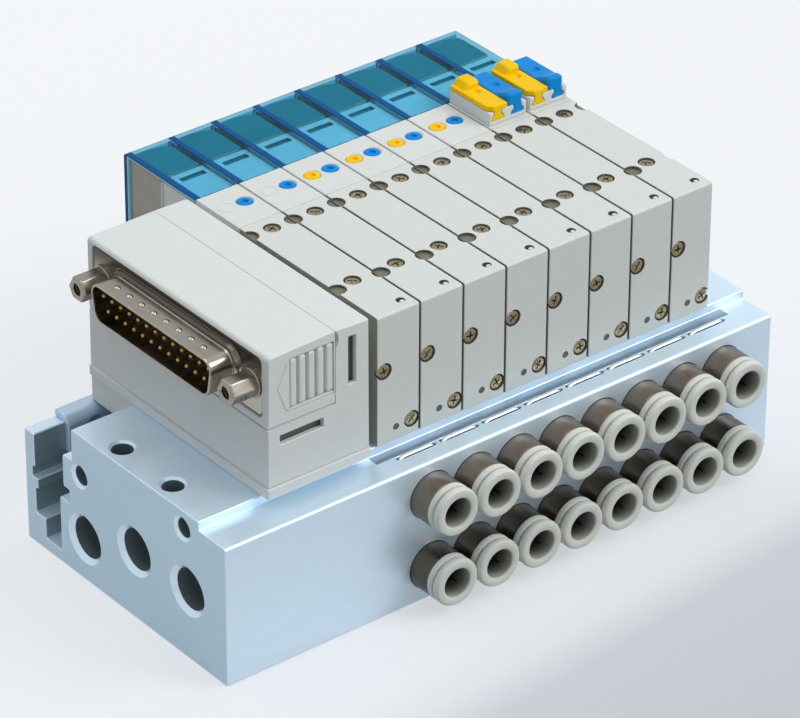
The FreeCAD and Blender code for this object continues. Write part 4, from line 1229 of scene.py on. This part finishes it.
def area_lamp(name, place, size, power):
    """Soft rectangular lamp at a place, facing the object's middle."""
    data = bpy.data.lights.new(name, "AREA")
    data.shape = "RECTANGLE"
    data.size, data.size_y = size
    data.energy = power
    lamp = bpy.data.objects.new(name, data)
    bpy.context.scene.collection.objects.link(lamp)
    lamp.location = place
    lamp.rotation_euler = (Vector(place) - Vector(LAMP_AIM)).to_track_quat("Z", "Y").to_euler()


def build_lights():
    """A soft box to the right of the camera and a wide soft lamp overhead."""
    area_lamp("soft_box", (0.72, -0.76, 0.86), (0.8, 0.6), 8.4)
    area_lamp("overhead", (-0.1, 0.25, 1.15), (0.9, 0.9), 4.5)


# View of the photograph, fitted to the object's edges: metres, degrees and millimetres.
CAMERA_PLACE = (-0.52425670, -0.65418483, 0.54858013)
CAMERA_AZIMUTH, CAMERA_HEIGHT, CAMERA_ROLL = -38.67259, 31.70411, 0.26054
CAMERA_LENS = 226.489


def build_camera():
    """Camera of the photograph: place and angles come from the fitted view."""
    data = bpy.data.cameras.new("camera")
    data.sensor_fit = "HORIZONTAL"
    data.sensor_width = 36.0
    data.lens = CAMERA_LENS
    data.clip_start, data.clip_end = 0.05, 20.0
    camera = bpy.data.objects.new("camera", data)
    bpy.context.scene.collection.objects.link(camera)
    azimuth, height, roll = np.radians([CAMERA_AZIMUTH, CAMERA_HEIGHT, CAMERA_ROLL])
    back = np.array([math.sin(azimuth) * math.cos(height), -math.cos(azimuth) * math.cos(height),
                     math.sin(height)])
    right = np.array([math.cos(azimuth), math.sin(azimuth), 0])
    up = np.cross(back, right)
    right, up = (math.cos(roll) * right + math.sin(roll) * up,
                 math.cos(roll) * up - math.sin(roll) * right)
    matrix = np.eye(4)
    matrix[:3, 0], matrix[:3, 1], matrix[:3, 2] = right, up, back
    matrix[:3, 3] = CAMERA_PLACE
    camera.matrix_world = Matrix(matrix.tolist())
    bpy.context.scene.camera = camera


build_camera()
build_room()
build_lights()
build_base()
build_bracket()
build_clips()
build_fittings()
build_valves()
build_pilots()
build_buttons()
build_covers()
build_sliders()
build_housing()
build_block()
build_plug()

for node, finish in (("valve_gaskets", rubber), ("hinge_pin", jack_metal)):
    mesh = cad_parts[node].data
    mesh.materials.clear()
    mesh.materials.append(finish)

bpy.context.scene.view_settings.view_transform = "Standard"
